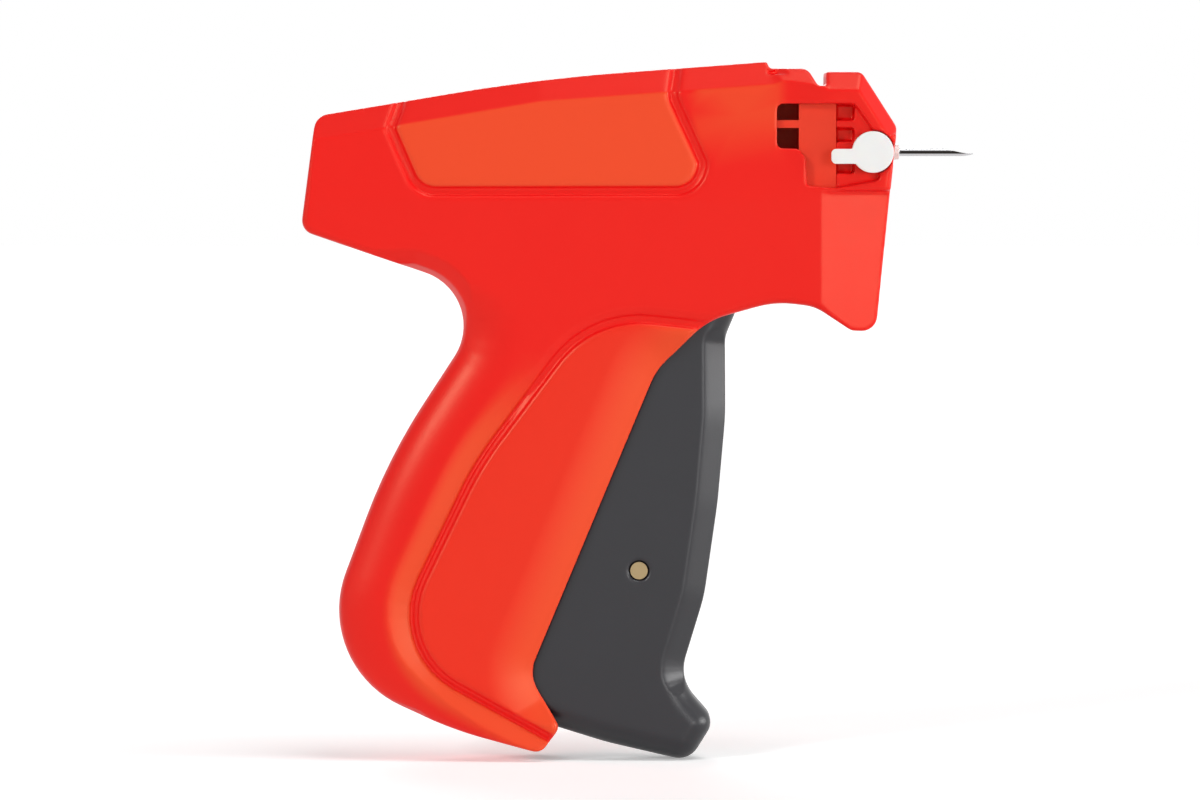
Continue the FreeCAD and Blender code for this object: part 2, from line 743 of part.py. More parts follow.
def grip_rounding(name, side):
    """A cutter that rounds the grip's back in two slopes, steep outside and flat inside."""
    reach = dim("Dims.grip_round")
    steps = [
        (-0.05, "Dims.shell_half - 5"),
        (0.3 * reach, "Dims.shell_half - 2"),
        (1.35 * reach, "Dims.shell_half + 1"),
    ]
    sections = []
    for index, (gap, level) in enumerate(steps):
        sketch = side_sketch(new_body(f"{name}_{index}"), f"{side} * ({level})")
        add_outline(sketch, inset(GRIP_BAND, gap))
        sections.append(sketch)
    item = doc.addObject("Part::Loft", name)
    item.Sections = sections
    item.Solid = True
    item.Ruled = True
    return item


BARREL_PANEL = [
    ("-Dims.barrel_length + 17.4", 22.0, 0),
    (-44.6, 22.0, 0),
    (-46.3, 11.6, 3.0),
    (-39.9, -2.3, 3.5),
    (-41.6, -9.1, 6.5),
    ("-Dims.barrel_length + 20.6", -9.2, 6.5),
    ("-Dims.barrel_length + 14.5", 4.8, 3.0),
    ("-Dims.barrel_length + 16.6", 10.6, 3.0),
]
GRIP_PANEL = [
    (-38.6, -35.1, 0),
    (-38.6, "-Dims.grip_drop - 16.9", 0),
    (-107.6, "-Dims.grip_drop + 21.4", 18.0),
    (-88.5, -64.0, 70.0),
    (-64.6, -32.2, 23.0),
]
WINDOW = [
    (-25.7, 10.0, 1.2),
    (-9.7, 10.0, 0.8),
    (-5.2, 3.7, 0),
    (-4.4, -5.8, 0.8),
    (-13.5, -7.4, 1.5),
    (-19.5, -7.0, 0.8),
    (-19.8, -1.2, 1.0),
    (-21.3, 0.7, 1.0),
    (-25.7, 0.8, 1.0),
]
NOSE_POCKETS = [(6.6, 9.8), (2.2, 5.0), (-4.4, -1.8)]  # low and high edges in the nose's side


def panel_groove(name, side, corners):
    """A shallow channel that frames a raised panel on the side face."""
    body = new_body(name)
    levels = span(side, "Dims.shell_half - Dims.groove_depth", OUTSIDE)
    pad(body, corners, *levels)
    pocket(body, inset(corners, dim("Dims.groove_width")), *levels)
    return body


CLIP_Y = ("-Dims.clip_right", "1 * Dims.clip_left")


def shell_tools(name, side):
    """What is cut from a shell: bevels, grooves, the hub's bore and the way of the clip's bar."""
    bore = cylinder(f"{name}_bore", HUB_BORE, DEEP, ("Dims.nose_block_x - 0.5", 0, 0), ALONG_X)
    clip_x = (f"{SLOT_REAR} - 0.2", f"{SLOT_FRONT} + 0.1")
    mouth = block(f"{name}_clip_mouth", clip_x, CLIP_Y, ("Dims.guide_top - 0.8", "20"))
    outlet = block(f"{name}_clip_outlet", clip_x, CLIP_Y, ("-45", "-27"))
    grooves = [
        panel_groove(f"{name}_barrel_groove", side, BARREL_PANEL),
        panel_groove(f"{name}_grip_groove", side, GRIP_PANEL),
    ]
    rounding = grip_rounding(f"{name}_grip_rounding", side)
    return [bore, mouth, outlet, nose_taper(f"{name}_taper", side), rounding, *grooves]


def front_x(height):
    """The front face's x at a height z, on the line from the brow to the chin."""
    return BROW[0] + (CHIN[0] - BROW[0]) * (BROW[1] - height) / (BROW[1] - CHIN[1])


def housing_right():
    """The right shell, which also carries the whole top corner in front of the slot."""
    body = housing_body("right_shell", -1)
    corner = [
        (SLOT_FRONT, SLOT_HALF, 0),
        (SLOT_FRONT, "1 * Dims.nose_top", 0),
        NOSE_TOP,
        BROW,
        (front_x(dim(SLOT_HALF)), SLOT_HALF, 0),
    ]
    pad(body, corner, "0", "Dims.shell_half")
    pocket(body, WINDOW, f"-{OUTSIDE}", f"-{INSIDE}")
    for height in NOSE_POCKETS:
        corners = rectangle(("Dims.nose_block_x - 1", -9.6), height)
        pocket(body, corners, f"-({ROOT})", f"-({INSIDE} - Dims.nose_pocket)")
    knob = ("1 * Dims.knob_x", 0)
    hole(body, knob, "Dims.knob_r + Dims.side_gap", f"-{OUTSIDE}", f"-{INSIDE}")
    hole(body, knob, "Dims.cam_r + Dims.cam_gap", f"-({ROOT})", "-Dims.cam_end + Dims.side_gap")
    for centre in SCREWS:
        hole(body, centre, "1 * Dims.screw_r", f"-(Dims.screw_length - {HEAD_FLOOR} + 0.4)", "0")
    disc(body, detent_post, DETENT_POST_R, f"-({ROOT})", f"{PAWL_Y[0]}")
    disc(body, spring_post, "1 * Dims.spring_post_r", f"-({ROOT})", f"-{LEVER_SIDE} - 0.3")
    bevels = top_bevels("right", -1) + top_bevels("corner", 1)[3:]
    return cut("housing_right", body, *shell_tools("right", -1), *bevels)


def housing_left():
    """The left shell, open in front of the slot so that the filaments can leave sideways."""
    body = housing_body("left_shell", 1)
    for centre in SCREWS:
        hole(body, centre, "Dims.screw_r + 0.2", "0", OUTSIDE)
        hole(body, centre, "Dims.screw_head_r + 0.1", HEAD_FLOOR, OUTSIDE)
    room = block("left_room", (SLOT_REAR, "5"), ("-1", OUTSIDE), (f"-{SLOT_HALF}", "30"))
    tools = [room, *shell_tools("left", 1), *top_bevels("left", 1)[:3]]
    return cut("housing_left", body, *tools)


# Screws, driven from the left

HEAD_FLOOR = "(Dims.shell_half - Dims.screw_recess - Dims.screw_head_height)"


def screw_cross(name, across, up, half_x, half_z):
    return block(
        name,
        (f"{across} - {half_x}", f"{across} + {half_x}"),
        ("Dims.shell_half - Dims.cross_depth", OUTSIDE),
        (f"{up} - {half_z}", f"{up} + {half_z}"),
    )


def housing_screws():
    """Five pan-head screws with cross recesses, which cut their thread in the right shell."""
    narrow, wide = "Dims.cross_width / 2", "Dims.cross_length / 2"
    pieces = []
    for index, (x, z) in enumerate(SCREWS):
        low = f"{HEAD_FLOOR} - Dims.screw_length"
        shank = cylinder(f"screw_shank_{index}", "Dims.screw_r", "Dims.screw_length", (x, low, z))
        head = cylinder(
            f"screw_head_{index}", "Dims.screw_head_r", "Dims.screw_head_height", (x, HEAD_FLOOR, z)
        )
        screw = fuse(f"screw_{index}", shank, head)
        flat = screw_cross(f"screw_flat_{index}", x, z, wide, narrow)
        upright = screw_cross(f"screw_upright_{index}", x, z, narrow, wide)
        pieces.append(cut(f"screw_cut_{index}", screw, flat, upright))
    return fuse("housing_screws", *pieces)


# Trigger


def about_pivot(offsets):
    """Corners given as distances from the trigger's pivot."""
    return [(f"Dims.pivot_x + {x}", f"Dims.pivot_z + {z}", radius) for x, z, radius in offsets]


TRIGGER = about_pivot(
    [
        (-5.0, 10.7, 4.0),
        (3.4, 10.7, 4.0),
        (5.4, 1.0, 8.0),
        (10.9, -8.2, 0.8),
        (8.7, -13.4, 7.0),
        (8.8, -30.0, 60.0),
        (7.2, -48.0, 80.0),
        (4.4, -67.5, 30.0),
        (-0.9, -84.9, 9.0),
        (6.6, -93.4, 3.6),  # tip of the toe
        (1.3, -101.9, 4.6),
        (-16.0, -97.9, 60.0),
        (-35.6, -91.8, 2.0),
        (-35.2, -81.0, 8.0),
        (-9.4, -19.0, 12.0),
        (-5.4, -6.0, 6.0),
    ]
)
CHANNEL = about_pivot(
    [
        (15.0, 20.0, 0),
        (15.0, -7.6, 0),
        (6.1, -7.6, 1.0),
        (6.2, -32.0, 50.0),
        (4.8, -48.0, 60.0),
        (1.8, -68.0, 30.0),
        (-2.6, -84.5, 4.0),
        (-2.6, -98.0, 2.0),
        (-45.0, -86.1, 0),
        (-45.0, 20.0, 0),
    ]
)
GUARD_LINE = -6.0  # the trigger's front edges are rounded below this height from its pivot


def trigger():
    """A channel that is open to the rear and round at the finger side."""
    body = new_body("trigger")
    base = pad(body, TRIGGER, "-Dims.trigger_half", "Dims.trigger_half")
    names = [
        f"Edge{index}"
        for index, edge in enumerate(base.Shape.Edges, 1)
        if edge.BoundBox.YLength < 1e-4
        and edge.BoundBox.XMin > pivot[0]
        and edge.BoundBox.ZMax < pivot[1] + GUARD_LINE
    ]
    rounding = body.newObject("PartDesign::Fillet", "trigger_rounding")
    rounding.Base = (base, names)
    rounding.setExpression("Radius", "Dims.trigger_round")
    doc.recompute()
    pocket(body, CHANNEL, f"-{CHEEK}", CHEEK)
    through = ("-Dims.trigger_half - 1", "Dims.trigger_half + 1")
    hole(body, pivot, "1 * Dims.pivot_r", *through)
    hole(body, link_pin, "1 * Dims.link_pin_r", *through)
    hole(body, horn, "1 * Dims.small_pin_r", "0", through[1])
    for side in (-1, 1):
        ring = span(side, "Dims.trigger_half - Dims.ring_depth", "Dims.trigger_half + 1")
        hole(body, link_pin, "Dims.link_pin_r + Dims.ring_width", *ring)
    return body


def trigger_pivots():
    """Two trunnions, one in each cheek and shell; the right one also carries the spring."""
    at = ("Dims.pivot_x", f"{CHEEK} - Dims.side_gap", "Dims.pivot_z")
    left = cylinder("pivot_left", "Dims.pivot_r", f"{SEAT} - 0.1 - ({at[1]})", at)
    low = ("Dims.pivot_x", f"-{SEAT} + 0.1", "Dims.pivot_z")
    right = cylinder("pivot_right", "Dims.pivot_r", f"{SEAT} - 0.1 - {LEVER_SIDE}", low)
    return fuse("trigger_pivots", left, right)


def trigger_link_pin():
    length = "2 * (Dims.trigger_half - Dims.pin_recess)"
    low = "-Dims.trigger_half + Dims.pin_recess"
    return cylinder("trigger_link_pin", "Dims.link_pin_r", length, (LINK_PIN_X, low, LINK_PIN_Z))


def trigger_spring():
    """A torsion spring on the right trunnion, between the shell's post and the trigger's front."""
    wire = dim("Dims.wire_r")
    radius = dim("Dims.pivot_r + Dims.coil_gap") + wire
    start = Vector(pivot[0], wire + 0.5 - dim(CHEEK), pivot[1])
    first_angle, last_angle = 270.0, 708.5  # from the post's leg to the trigger's leg
    turns = (last_angle - first_angle) / 360
    coil_pitch = 2 * wire + 0.25
    helix = Part.makeHelix(coil_pitch, coil_pitch * turns, radius)
    helix.Placement = Placement(start, ALONG_Y * Rotation(Vector(0, 0, 1), first_angle))
    first, last = helix.Edges[0], helix.Edges[-1]
    head, head_way = first.valueAt(first.FirstParameter), first.tangentAt(first.FirstParameter)
    tail, tail_way = last.valueAt(last.LastParameter), last.tangentAt(last.LastParameter)
    ring = Part.Wire([Part.makeCircle(wire, head, head_way)])
    coil = Part.Wire(helix.Edges).makePipeShell([ring], True, True)
    post_leg = Part.makeCylinder(wire, dim("Dims.post_leg"), head, head_way * -1)
    trigger_leg = Part.makeCylinder(wire, dim("Dims.trigger_leg"), tail, tail_way)
    spring = doc.addObject("Part::Feature", "trigger_spring")
    spring.Shape = coil.fuse([post_leg, trigger_leg])
    return spring


# Drive lever, drawn upright about its own pivot and leaned to its rest angle

lever_reach = [
    math.dist(lever_pivot, swing(link_pin, pivot, squeeze * step / 8)) for step in range(9)
]


def drive_lever():
    """A flat lever with a slot for the link pin below and a fork for the slide's pin above."""
    body = new_body("drive_lever")
    rim = dim("Dims.lever_rim")
    link_r, drive_r = dim("Dims.link_pin_r"), dim("Dims.drive_pin_r")
    tail = -max(lever_reach) - link_r - 0.4
    tail_high = -min(lever_reach) + link_r + 0.4
    fork_floor = upper_arm - drive_r - 0.6
    arm_top = upper_arm + drive_r + 3.2
    top_half, bottom_half, waist = 4.0, link_r + 2.7, dim("Dims.lever_pin_r") + 2.9
    outline = [
        (-top_half, arm_top, 1.0),
        (top_half, arm_top, 1.0),
        (waist, top_half, 12.0),
        (bottom_half, tail - rim, 3.4),
        (-bottom_half, tail - rim, 3.4),
        (-waist, top_half, 12.0),
    ]
    pad(body, outline, "-Dims.lever_half", "Dims.lever_half")
    through = ("-Dims.lever_half - 1", "Dims.lever_half + 1")
    play = link_r + dim("Dims.lever_slot_play")
    slot = rectangle((-play, play), (tail, tail_high), play - 0.1)
    pocket(body, slot, *through)
    fork = drive_r + dim("Dims.lever_fork_play")
    mouth = [(-fork, fork_floor, 1.2), (-fork, arm_top + 2, 0)]
    mouth += [(fork, arm_top + 2, 0), (fork, fork_floor, 1.2)]
    pocket(body, mouth, *through)
    hole(body, (0, 0), "Dims.lever_pin_r + Dims.running_gap", *through)
    place(body, ("Dims.lever_x", 0, "Dims.lever_z"), Rotation(Vector(0, 1, 0), lever_rest))
    return body


def lever_pivot_pin():
    at = ("Dims.lever_x", f"-{LEVER_PIN_END}", "Dims.lever_z")
    return cylinder("lever_pivot_pin", "Dims.lever_pin_r", f"2 * {LEVER_PIN_END}", at)


# Slide and rod

SLIDE_FRONT = f"({SLIDE_X} + Dims.slide_front)"
WEB_X = f"({SLIDE_FRONT} - Dims.slide_web)"


def plunger_slide():
    """A carriage that runs between the rails, open below for the lever's fork."""
    half = "Dims.slide_half"
    rear = f"{SLIDE_X} - Dims.slide_rear"
    inner = f"({half} - Dims.ear_thickness)"
    below = "Dims.slide_bottom - 1"
    carriage = block(
        "slide_block", (rear, SLIDE_FRONT), (f"-{half}", half),
        ("1 * Dims.slide_bottom", "Dims.slide_top"),
    )
    room = block(
        "slide_room", (f"{rear} + Dims.slide_rear_wall", WEB_X), (f"-{inner}", inner),
        (below, "Dims.slide_top - Dims.slide_roof"),
    )
    relief = block(
        "slide_relief", (WEB_X, f"{SLIDE_FRONT} + 1"), (f"-{half} - 1", f"{half} + 1"),
        (below, "1 * Dims.slide_relief_z"),
    )
    at = (SLIDE_X, f"-{half} - 1", "Dims.slide_z")
    pin = cylinder("slide_pin_hole", "Dims.drive_pin_r", f"2 * {half} + 2", at)
    rod = cylinder("slide_rod_hole", "Dims.rod_r", "2 * Dims.slide_web", (WEB_X, 0, 0), ALONG_X)
    return cut("plunger_slide", carriage, room, relief, pin, rod)


def slide_drive_pin():
    at = (SLIDE_X, "-Dims.slide_half", "Dims.slide_z")
    return cylinder("slide_drive_pin", "Dims.drive_pin_r", "2 * Dims.slide_half", at)


def plunger_rod():
    rear = f"{WEB_X} + 0.1"
    return cylinder("plunger_rod", "Dims.rod_r", f"Dims.rod_tip_x - ({rear})", (rear, 0, 0), ALONG_X)


def rod_guide():
    """A block between the shells, just ahead of the slide's furthest reach."""
    rear = f"({SLIDE_FRONT} + {stroke:.4f} + Dims.side_gap)"
    body = block(
        "guide_block", (rear, f"{rear} + Dims.guide_thickness"), (f"-{INSIDE}", INSIDE),
        ("1 * Dims.guide_low", "Dims.guide_high"),
    )
    at = (f"{rear} - 1", 0, 0)
    bore = cylinder("guide_bore", "Dims.rod_r + Dims.running_gap", DEEP, at, ALONG_X)
    return cut("rod_guide", body, bore)


def slide_bumper():
    half = "Dims.bumper_half"
    middle = "(Dims.slide_bottom + Dims.slide_top) / 2 + 1"
    height = (f"{middle} - {half} - 0.5", f"{middle} + {half} + 0.5")
    return block("slide_bumper", (BUMPER_REAR, BUMPER_FRONT), (f"-{half}", half), height)


# Needle end


def needle_hub():
    """The plug that holds the needle's shank, slit on the left for the filaments."""
    front = "-Dims.hub_nose_length"
    rear = "Dims.nose_block_x"
    barrel = cylinder("hub_barrel", "Dims.hub_r", f"{front} - {rear}", (rear, 0, 0), ALONG_X)
    wide = "Dims.hub_nose_r + Dims.hub_nose_draft"
    nose = cone("hub_nose", wide, "Dims.hub_nose_r", "Dims.hub_nose_length", (front, 0, 0), ALONG_X)
    solid = fuse("hub_solid", barrel, nose)
    bore = cylinder("hub_bore", "Dims.shank_r", DEEP, (-DEEP / 2, 0, 0), ALONG_X)
    half = "(Dims.needle_slot / 2 + Dims.hub_slot_gap)"
    slot = block("hub_slot", (-DEEP / 2, 5), (0, 5), (f"-{half}", half))
    at = ("Dims.knob_x", "-Dims.hub_r - 4", 0)
    cam = cylinder("hub_cam_pocket", "Dims.cam_r + Dims.cam_gap", f"-({at[1]}) - Dims.cam_end + 0.2", at)
    return cut("needle_hub", solid, bore, slot, cam)


def needle():
    """A slit steel tube with a thicker shank and a long bevel at its tip."""
    rear = "Dims.nose_block_x"
    shank = cylinder("needle_shank", "Dims.shank_r", f"-{rear}", (rear, 0, 0), ALONG_X)
    tube = cylinder("needle_tube", "Dims.needle_r", "Dims.needle_length", (0, 0, 0), ALONG_X)
    solid = fuse("needle_solid", shank, tube)
    bore = cylinder("needle_bore", "Dims.needle_bore_r", DEEP, (-DEEP / 2, 0, 0), ALONG_X)
    half = "Dims.needle_slot / 2"
    slot = block("needle_side_slot", (-DEEP / 2, DEEP / 2), (0, 5), (f"-{half}", half))
    radius = dim("Dims.needle_r")
    fall = 2 * radius - dim("Dims.needle_lip")
    slope = Vector(dim("Dims.needle_bevel"), 0, -fall).normalize()
    across = Vector(0, 1, 0)
    start = Vector(dim("Dims.needle_length - Dims.needle_bevel"), -DEEP / 2, radius)
    bevel = doc.addObject("Part::Box", "needle_bevel")
    bevel.Length = bevel.Width = bevel.Height = DEEP
    bevel.Placement = Placement(start, Rotation(slope, across, slope.cross(across), "ZXY"))
    return cut("needle", solid, bore, slot, bevel)


def lock_knob():
    """A quarter-turn knob with a finger tab and a flattened cam that grips the hub."""
    body = new_body("lock_knob")
    outer = "-(Dims.shell_half + Dims.knob_proud)"
    cheek = f"-({INSIDE} + 0.4)"
    disc(body, ("1 * Dims.knob_x", 0), "1 * Dims.knob_r", outer, cheek)
    tab_z = ("1 * Dims.knob_tab_low", "Dims.knob_tab_low + Dims.knob_tab_width")
    tab_end = "Dims.knob_x - Dims.knob_tab_reach"
    tab = [
        (tab_end, tab_z[0], "1 * Dims.knob_tab_round"),
        (tab_end, tab_z[1], "1 * Dims.knob_tab_round"),
        ("1 * Dims.knob_x", tab_z[1], 0),
        ("1 * Dims.knob_x", tab_z[0], 0),
    ]
    pad(body, tab, outer, "-(Dims.shell_half + Dims.side_gap)")
    cam_x = ("Dims.knob_x - Dims.cam_r", "Dims.knob_x + Dims.cam_r")
    cam = rectangle(cam_x, ("-Dims.cam_half", "1 * Dims.cam_half"), "Dims.cam_half - 0.1")
    pad(body, cam, cheek, "-Dims.cam_end")
    return body


def clip_guide():
    """Upright block beside the clip, with a rib behind and a front lip under the knife."""
    body = new_body("clip_guide")
    front = "1 * Dims.nose_block_x"
    face = "-Dims.clip_right"
    height = ("1 * Dims.guide_bottom", "1 * Dims.guide_top")
    lip = (f"{SLOT_FRONT} + 0.15", front)
    pillar = (f"{SLOT_REAR} - 2.2", f"{SLOT_REAR} - 0.2")
    whole = rectangle(("Dims.nose_block_x - Dims.guide_rear", front), height)
    pad(body, whole, f"-({INSIDE} - 0.5)", face)
    rib = rectangle((-26.4, "Dims.nose_block_x - Dims.guide_rear + 0.1"), (5.0, 6.6))
    pad(body, rib, f"-({INSIDE} - 0.5)", "-6.4")
    pad(body, rectangle(lip, height), face, "-Dims.blade_face")
    pad(body, rectangle(pillar, (2.0, height[1])), face, "-0.4")
    return body


def knife():
    """A small blade, ground on its rear edge, that parts each fastener from the clip."""
    rear = f"{SLOT_FRONT} + 0.2"
    level = ("-Dims.blade_face", "-Dims.blade_face + Dims.blade_thickness")
    height = ("-Dims.blade_half", "Dims.blade_half")
    blank = block("knife_blank", (rear, "1 * Dims.nose_block_x"), level, height)
    grind = doc.addObject("Part::Box", "knife_grind")
    grind.Length = 4
    grind.Width = 2
    grind.setExpression("Height", "2 * Dims.blade_half + 2")
    tilt = Rotation(Vector(0, 0, 1), dim("Dims.blade_angle"))
    place(grind, (rear, "-Dims.blade_face + 0.05", "-Dims.blade_half - 1"), tilt)
    return cut("knife", blank, grind)


# Feed


def feed_axle():
    return cylinder("feed_axle", "Dims.axle_r", f"2 * {SEAT}", ("Dims.feed_x", f"-{SEAT}", "Dims.feed_z"))


def toothed_wheel(name, radius, notch, y_range):
    """A disc with one notch repeated once per tooth, running on the feed axle."""
    body = new_body(name)
    through = (f"{y_range[0]} - 1", f"{y_range[1]} + 1")
    disc(body, (0, 0), radius, *y_range)
    polar_pattern(body, pocket(body, notch, *through), "Dims.teeth")
    hole(body, (0, 0), "Dims.axle_r + Dims.running_gap", *through)
    place(body, ("Dims.feed_x", 0, "Dims.feed_z"))
    return body


def feed_sprocket():
    root, outside = dim("Dims.sprocket_root_r"), dim("Dims.sprocket_r") + 1
    wide, narrow = 0.36 * pitch, 0.2 * pitch
    notch = [
        (*polar((0, 0), root, narrow), 0),
        (*polar((0, 0), outside, wide), 0),
        (*polar((0, 0), outside, -wide), 0),
        (*polar((0, 0), root, -narrow), 0),
    ]
    return toothed_wheel("feed_sprocket", "1 * Dims.sprocket_r", notch, SPROCKET_Y)


def ratchet_wheel():
    crest = NOTCH + pitch - LAND
    notch = [
        (*polar((0, 0), ratchet_root, NOTCH), 0),
        (*polar((0, 0), ratchet_r + 1, NOTCH), 0),
        (*polar((0, 0), ratchet_r + 1, crest), 0),
        (*polar((0, 0), ratchet_r - 0.01, crest), 0),
    ]
    return toothed_wheel("ratchet_wheel", "1 * Dims.ratchet_r", notch, RATCHET_Y)


def feed_rocker():
    """A plate on the feed axle with one arm for the link and one for the pawl."""
    body = new_body("feed_rocker")
    pad(body, strap(feed_axis, rocker_pin, dim("Dims.small_pin_r") + 1.4), *ROCKER_Y)
    pad(body, strap(feed_axis, spring_foot, dim("Dims.small_pin_r") + 1.0), *ROCKER_Y)
    disc(body, feed_axis, "Dims.axle_r + Dims.rocker_hub_wall", ROCKER_Y[0], ROCKER_HUB_END)
    through = (f"{ROCKER_Y[0]} - 1", f"{ROCKER_HUB_END} + 1")
    hole(body, feed_axis, "Dims.axle_r + Dims.running_gap", *through)
    hole(body, rocker_pin, "1 * Dims.small_pin_r", *through)
    hole(body, pawl_pivot, "1 * Dims.small_pin_r", *through)
    return body


def feed_link():
    body = new_body("feed_link")
    through = (f"{LINK_Y[0]} - 1", f"{LINK_Y[1]} + 1")
    pad(body, strap(horn, rocker_pin, dim("Dims.small_pin_r") + 1.2), *LINK_Y)
    hole(body, horn, "Dims.small_pin_r + Dims.running_gap", *through)
    hole(body, rocker_pin, "Dims.small_pin_r + Dims.open_pivot_gap", *through)
    return body


def small_pin(name, centre, low, high):
    return cylinder(name, "Dims.small_pin_r", f"({high}) - ({low})", (centre[0], low, centre[1]))


def feed_pawl():
    """A finger on the rocker's pin whose tip stands in one notch of the ratchet."""
    body = new_body("feed_pawl")
    x, z = pawl_pivot
    corners = [
        polar(feed_axis, ratchet_root + 0.15, NOTCH + 1.2),  # tip
        polar(feed_axis, ratchet_root + 0.75, NOTCH + 0.55 * pitch),
        polar(feed_axis, ratchet_r + 0.4, NOTCH + pitch + 3),
        (x + 1.5, z - 0.4),
        (x - 1.5, z + 0.4),
        polar(feed_axis, ratchet_r + 1.5, NOTCH + 1.5),
    ]
    pad(body, [(*corner, 0) for corner in corners], *PAWL_Y)
    disc(body, pawl_pivot, "Dims.small_pin_r + 0.8", *PAWL_Y)
    hole(body, pawl_pivot, "Dims.small_pin_r + Dims.running_gap", f"{PAWL_Y[0]} - 1", f"{PAWL_Y[1]} + 1")
    return body


def pawl_spring():
    """A leaf from the rocker's end that presses the pawl towards the ratchet."""
    body = new_body("pawl_spring")
    tip = polar(feed_axis, ratchet_r + 2.35, NOTCH)
    pad(body, strap(spring_foot, tip, dim("Dims.leaf_half")), f"{PAWL_Y[0]} + 0.1", ROCKER_Y[0])
    return body


def detent_spring():
    """A leaf on the right shell's post that stops the wheel turning back."""
    body = new_body("detent_spring")
    tip = polar(feed_axis, ratchet_root + 0.45, detent_notch + 3.2)
    pad(body, strap(detent_post, tip, dim("Dims.leaf_half")), *PAWL_Y)
    return body


def feed_pins():
    """The link's two pins and the pawl's pin."""
    horn_end = "1 * Dims.trigger_half"
    return {
        "link_lower_pin": small_pin("link_lower_pin", horn, f"{LINK_Y[0]} - 0.2", horn_end),
        "link_upper_pin": small_pin("link_upper_pin", rocker_pin, ROCKER_Y[0], f"{LINK_Y[1]} + 0.3"),
        "pawl_pin": small_pin("pawl_pin", pawl_pivot, f"{PAWL_Y[0]} - 0.2", ROCKER_Y[1]),
    }


NODES = {
    "housing_right": housing_right(),
    "housing_left": housing_left(),
    "housing_screws": housing_screws(),
    "trigger": trigger(),
    "trigger_pivots": trigger_pivots(),
    "trigger_link_pin": trigger_link_pin(),
    "trigger_spring": trigger_spring(),
    "drive_lever": drive_lever(),
    "lever_pivot_pin": lever_pivot_pin(),
    "plunger_slide": plunger_slide(),
    "slide_drive_pin": slide_drive_pin(),
    "plunger_rod": plunger_rod(),
    "rod_guide": rod_guide(),
    "slide_bumper": slide_bumper(),
    "needle_hub": needle_hub(),
    "needle": needle(),
    "lock_knob": lock_knob(),
    "clip_guide": clip_guide(),
    "knife": knife(),
    "feed_axle": feed_axle(),
    "feed_sprocket": feed_sprocket(),
    "ratchet_wheel": ratchet_wheel(),
    "feed_rocker": feed_rocker(),
    "feed_link": feed_link(),
    "feed_pawl": feed_pawl(),
    "pawl_spring": pawl_spring(),
    "detent_spring": detent_spring(),
    **feed_pins(),
}

doc.recompute()
for item in doc.Objects:
    if "Invalid" in item.State or "Error" in item.State:
        raise RuntimeError(f"{item.Name} did not build: {item.State}")
for name, item in NODES.items():
    item.Label = name
    if item.Shape.isNull() or not item.Shape.isValid() or not item.Shape.Solids:
        raise RuntimeError(f"{name} has no valid solid")

os.makedirs("parts", exist_ok=True)
for item in NODES.values():
    item.Shape.exportStep(f"parts/{item.Label}.step")

print(f"stroke {stroke:.3f}, lever {lever_rest:.3f} to {lever_end:.3f} degrees")
print(f"horn {horn}, pawl pivot {pawl_pivot}")
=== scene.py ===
"""The looks of a garment tag attacher: red moulded housing, charcoal trigger, steel needle."""

import math

import bpy
import numpy as np
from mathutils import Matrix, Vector

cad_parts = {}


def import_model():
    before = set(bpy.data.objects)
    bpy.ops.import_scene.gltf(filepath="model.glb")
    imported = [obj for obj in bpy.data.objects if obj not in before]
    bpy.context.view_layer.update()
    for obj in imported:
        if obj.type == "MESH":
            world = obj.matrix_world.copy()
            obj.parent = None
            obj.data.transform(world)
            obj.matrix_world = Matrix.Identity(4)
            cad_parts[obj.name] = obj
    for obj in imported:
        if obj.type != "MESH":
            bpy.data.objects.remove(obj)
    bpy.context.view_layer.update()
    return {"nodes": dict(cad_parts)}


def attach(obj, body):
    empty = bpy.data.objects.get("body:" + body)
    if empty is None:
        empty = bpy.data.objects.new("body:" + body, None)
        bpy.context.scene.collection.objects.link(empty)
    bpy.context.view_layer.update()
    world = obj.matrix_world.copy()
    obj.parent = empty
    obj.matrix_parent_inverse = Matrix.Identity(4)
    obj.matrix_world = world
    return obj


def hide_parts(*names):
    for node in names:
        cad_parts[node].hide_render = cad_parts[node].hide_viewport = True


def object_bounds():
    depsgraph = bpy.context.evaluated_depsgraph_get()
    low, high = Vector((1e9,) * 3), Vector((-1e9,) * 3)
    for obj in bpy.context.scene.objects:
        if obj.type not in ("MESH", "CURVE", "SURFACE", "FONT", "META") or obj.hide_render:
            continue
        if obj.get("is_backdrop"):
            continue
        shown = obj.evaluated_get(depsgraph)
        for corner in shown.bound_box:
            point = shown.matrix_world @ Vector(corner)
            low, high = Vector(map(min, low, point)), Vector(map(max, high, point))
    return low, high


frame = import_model()
NODES = frame["nodes"]
MM = 0.001

# Sizes and places are in millimetres, up to the materials and the stage, which are in metres.
# A corner of an outline is x, z and the radius of the arc that turns it.
OUTLINE = [
    (-121.2, 7.45, 3.2), (-75.0, 15.2, 400.0), (-27.7, 18.7, 0), (-27.2, 17.3, 0),
    (-16.0, 16.6, 0), (-8.1, 16.6, 1.8), (-0.8, 5.2, 2.0), (-5.1, -37.2, 3.2),
    (-10.2, -37.0, 2.4), (-17.8, -32.0, 9.0), (-26.0, -31.0, 20.0), (-40.0, -34.9, 16.0),
    (-50.6, -45.2, 14.0), (-77.0, -108.4, 7.0), (-70.6, -119.4, 2.0), (-74.6, -124.8, 2.6),
    (-93.5, -119.8, 80.0), (-122.4, -106.6, 22.0), (-106.2, -63.3, 120.0),
    (-84.4, -29.9, 11.6), (-124.3, -16.2, 3.0),
]
BARREL_PANEL = [
    (-103.8, 22.0, 0), (-44.6, 22.0, 0), (-46.3, 11.6, 3.0), (-39.9, -2.3, 3.5),
    (-41.6, -9.1, 6.5), (-100.6, -9.2, 6.5), (-106.7, 4.8, 3.0), (-104.6, 10.6, 3.0),
]
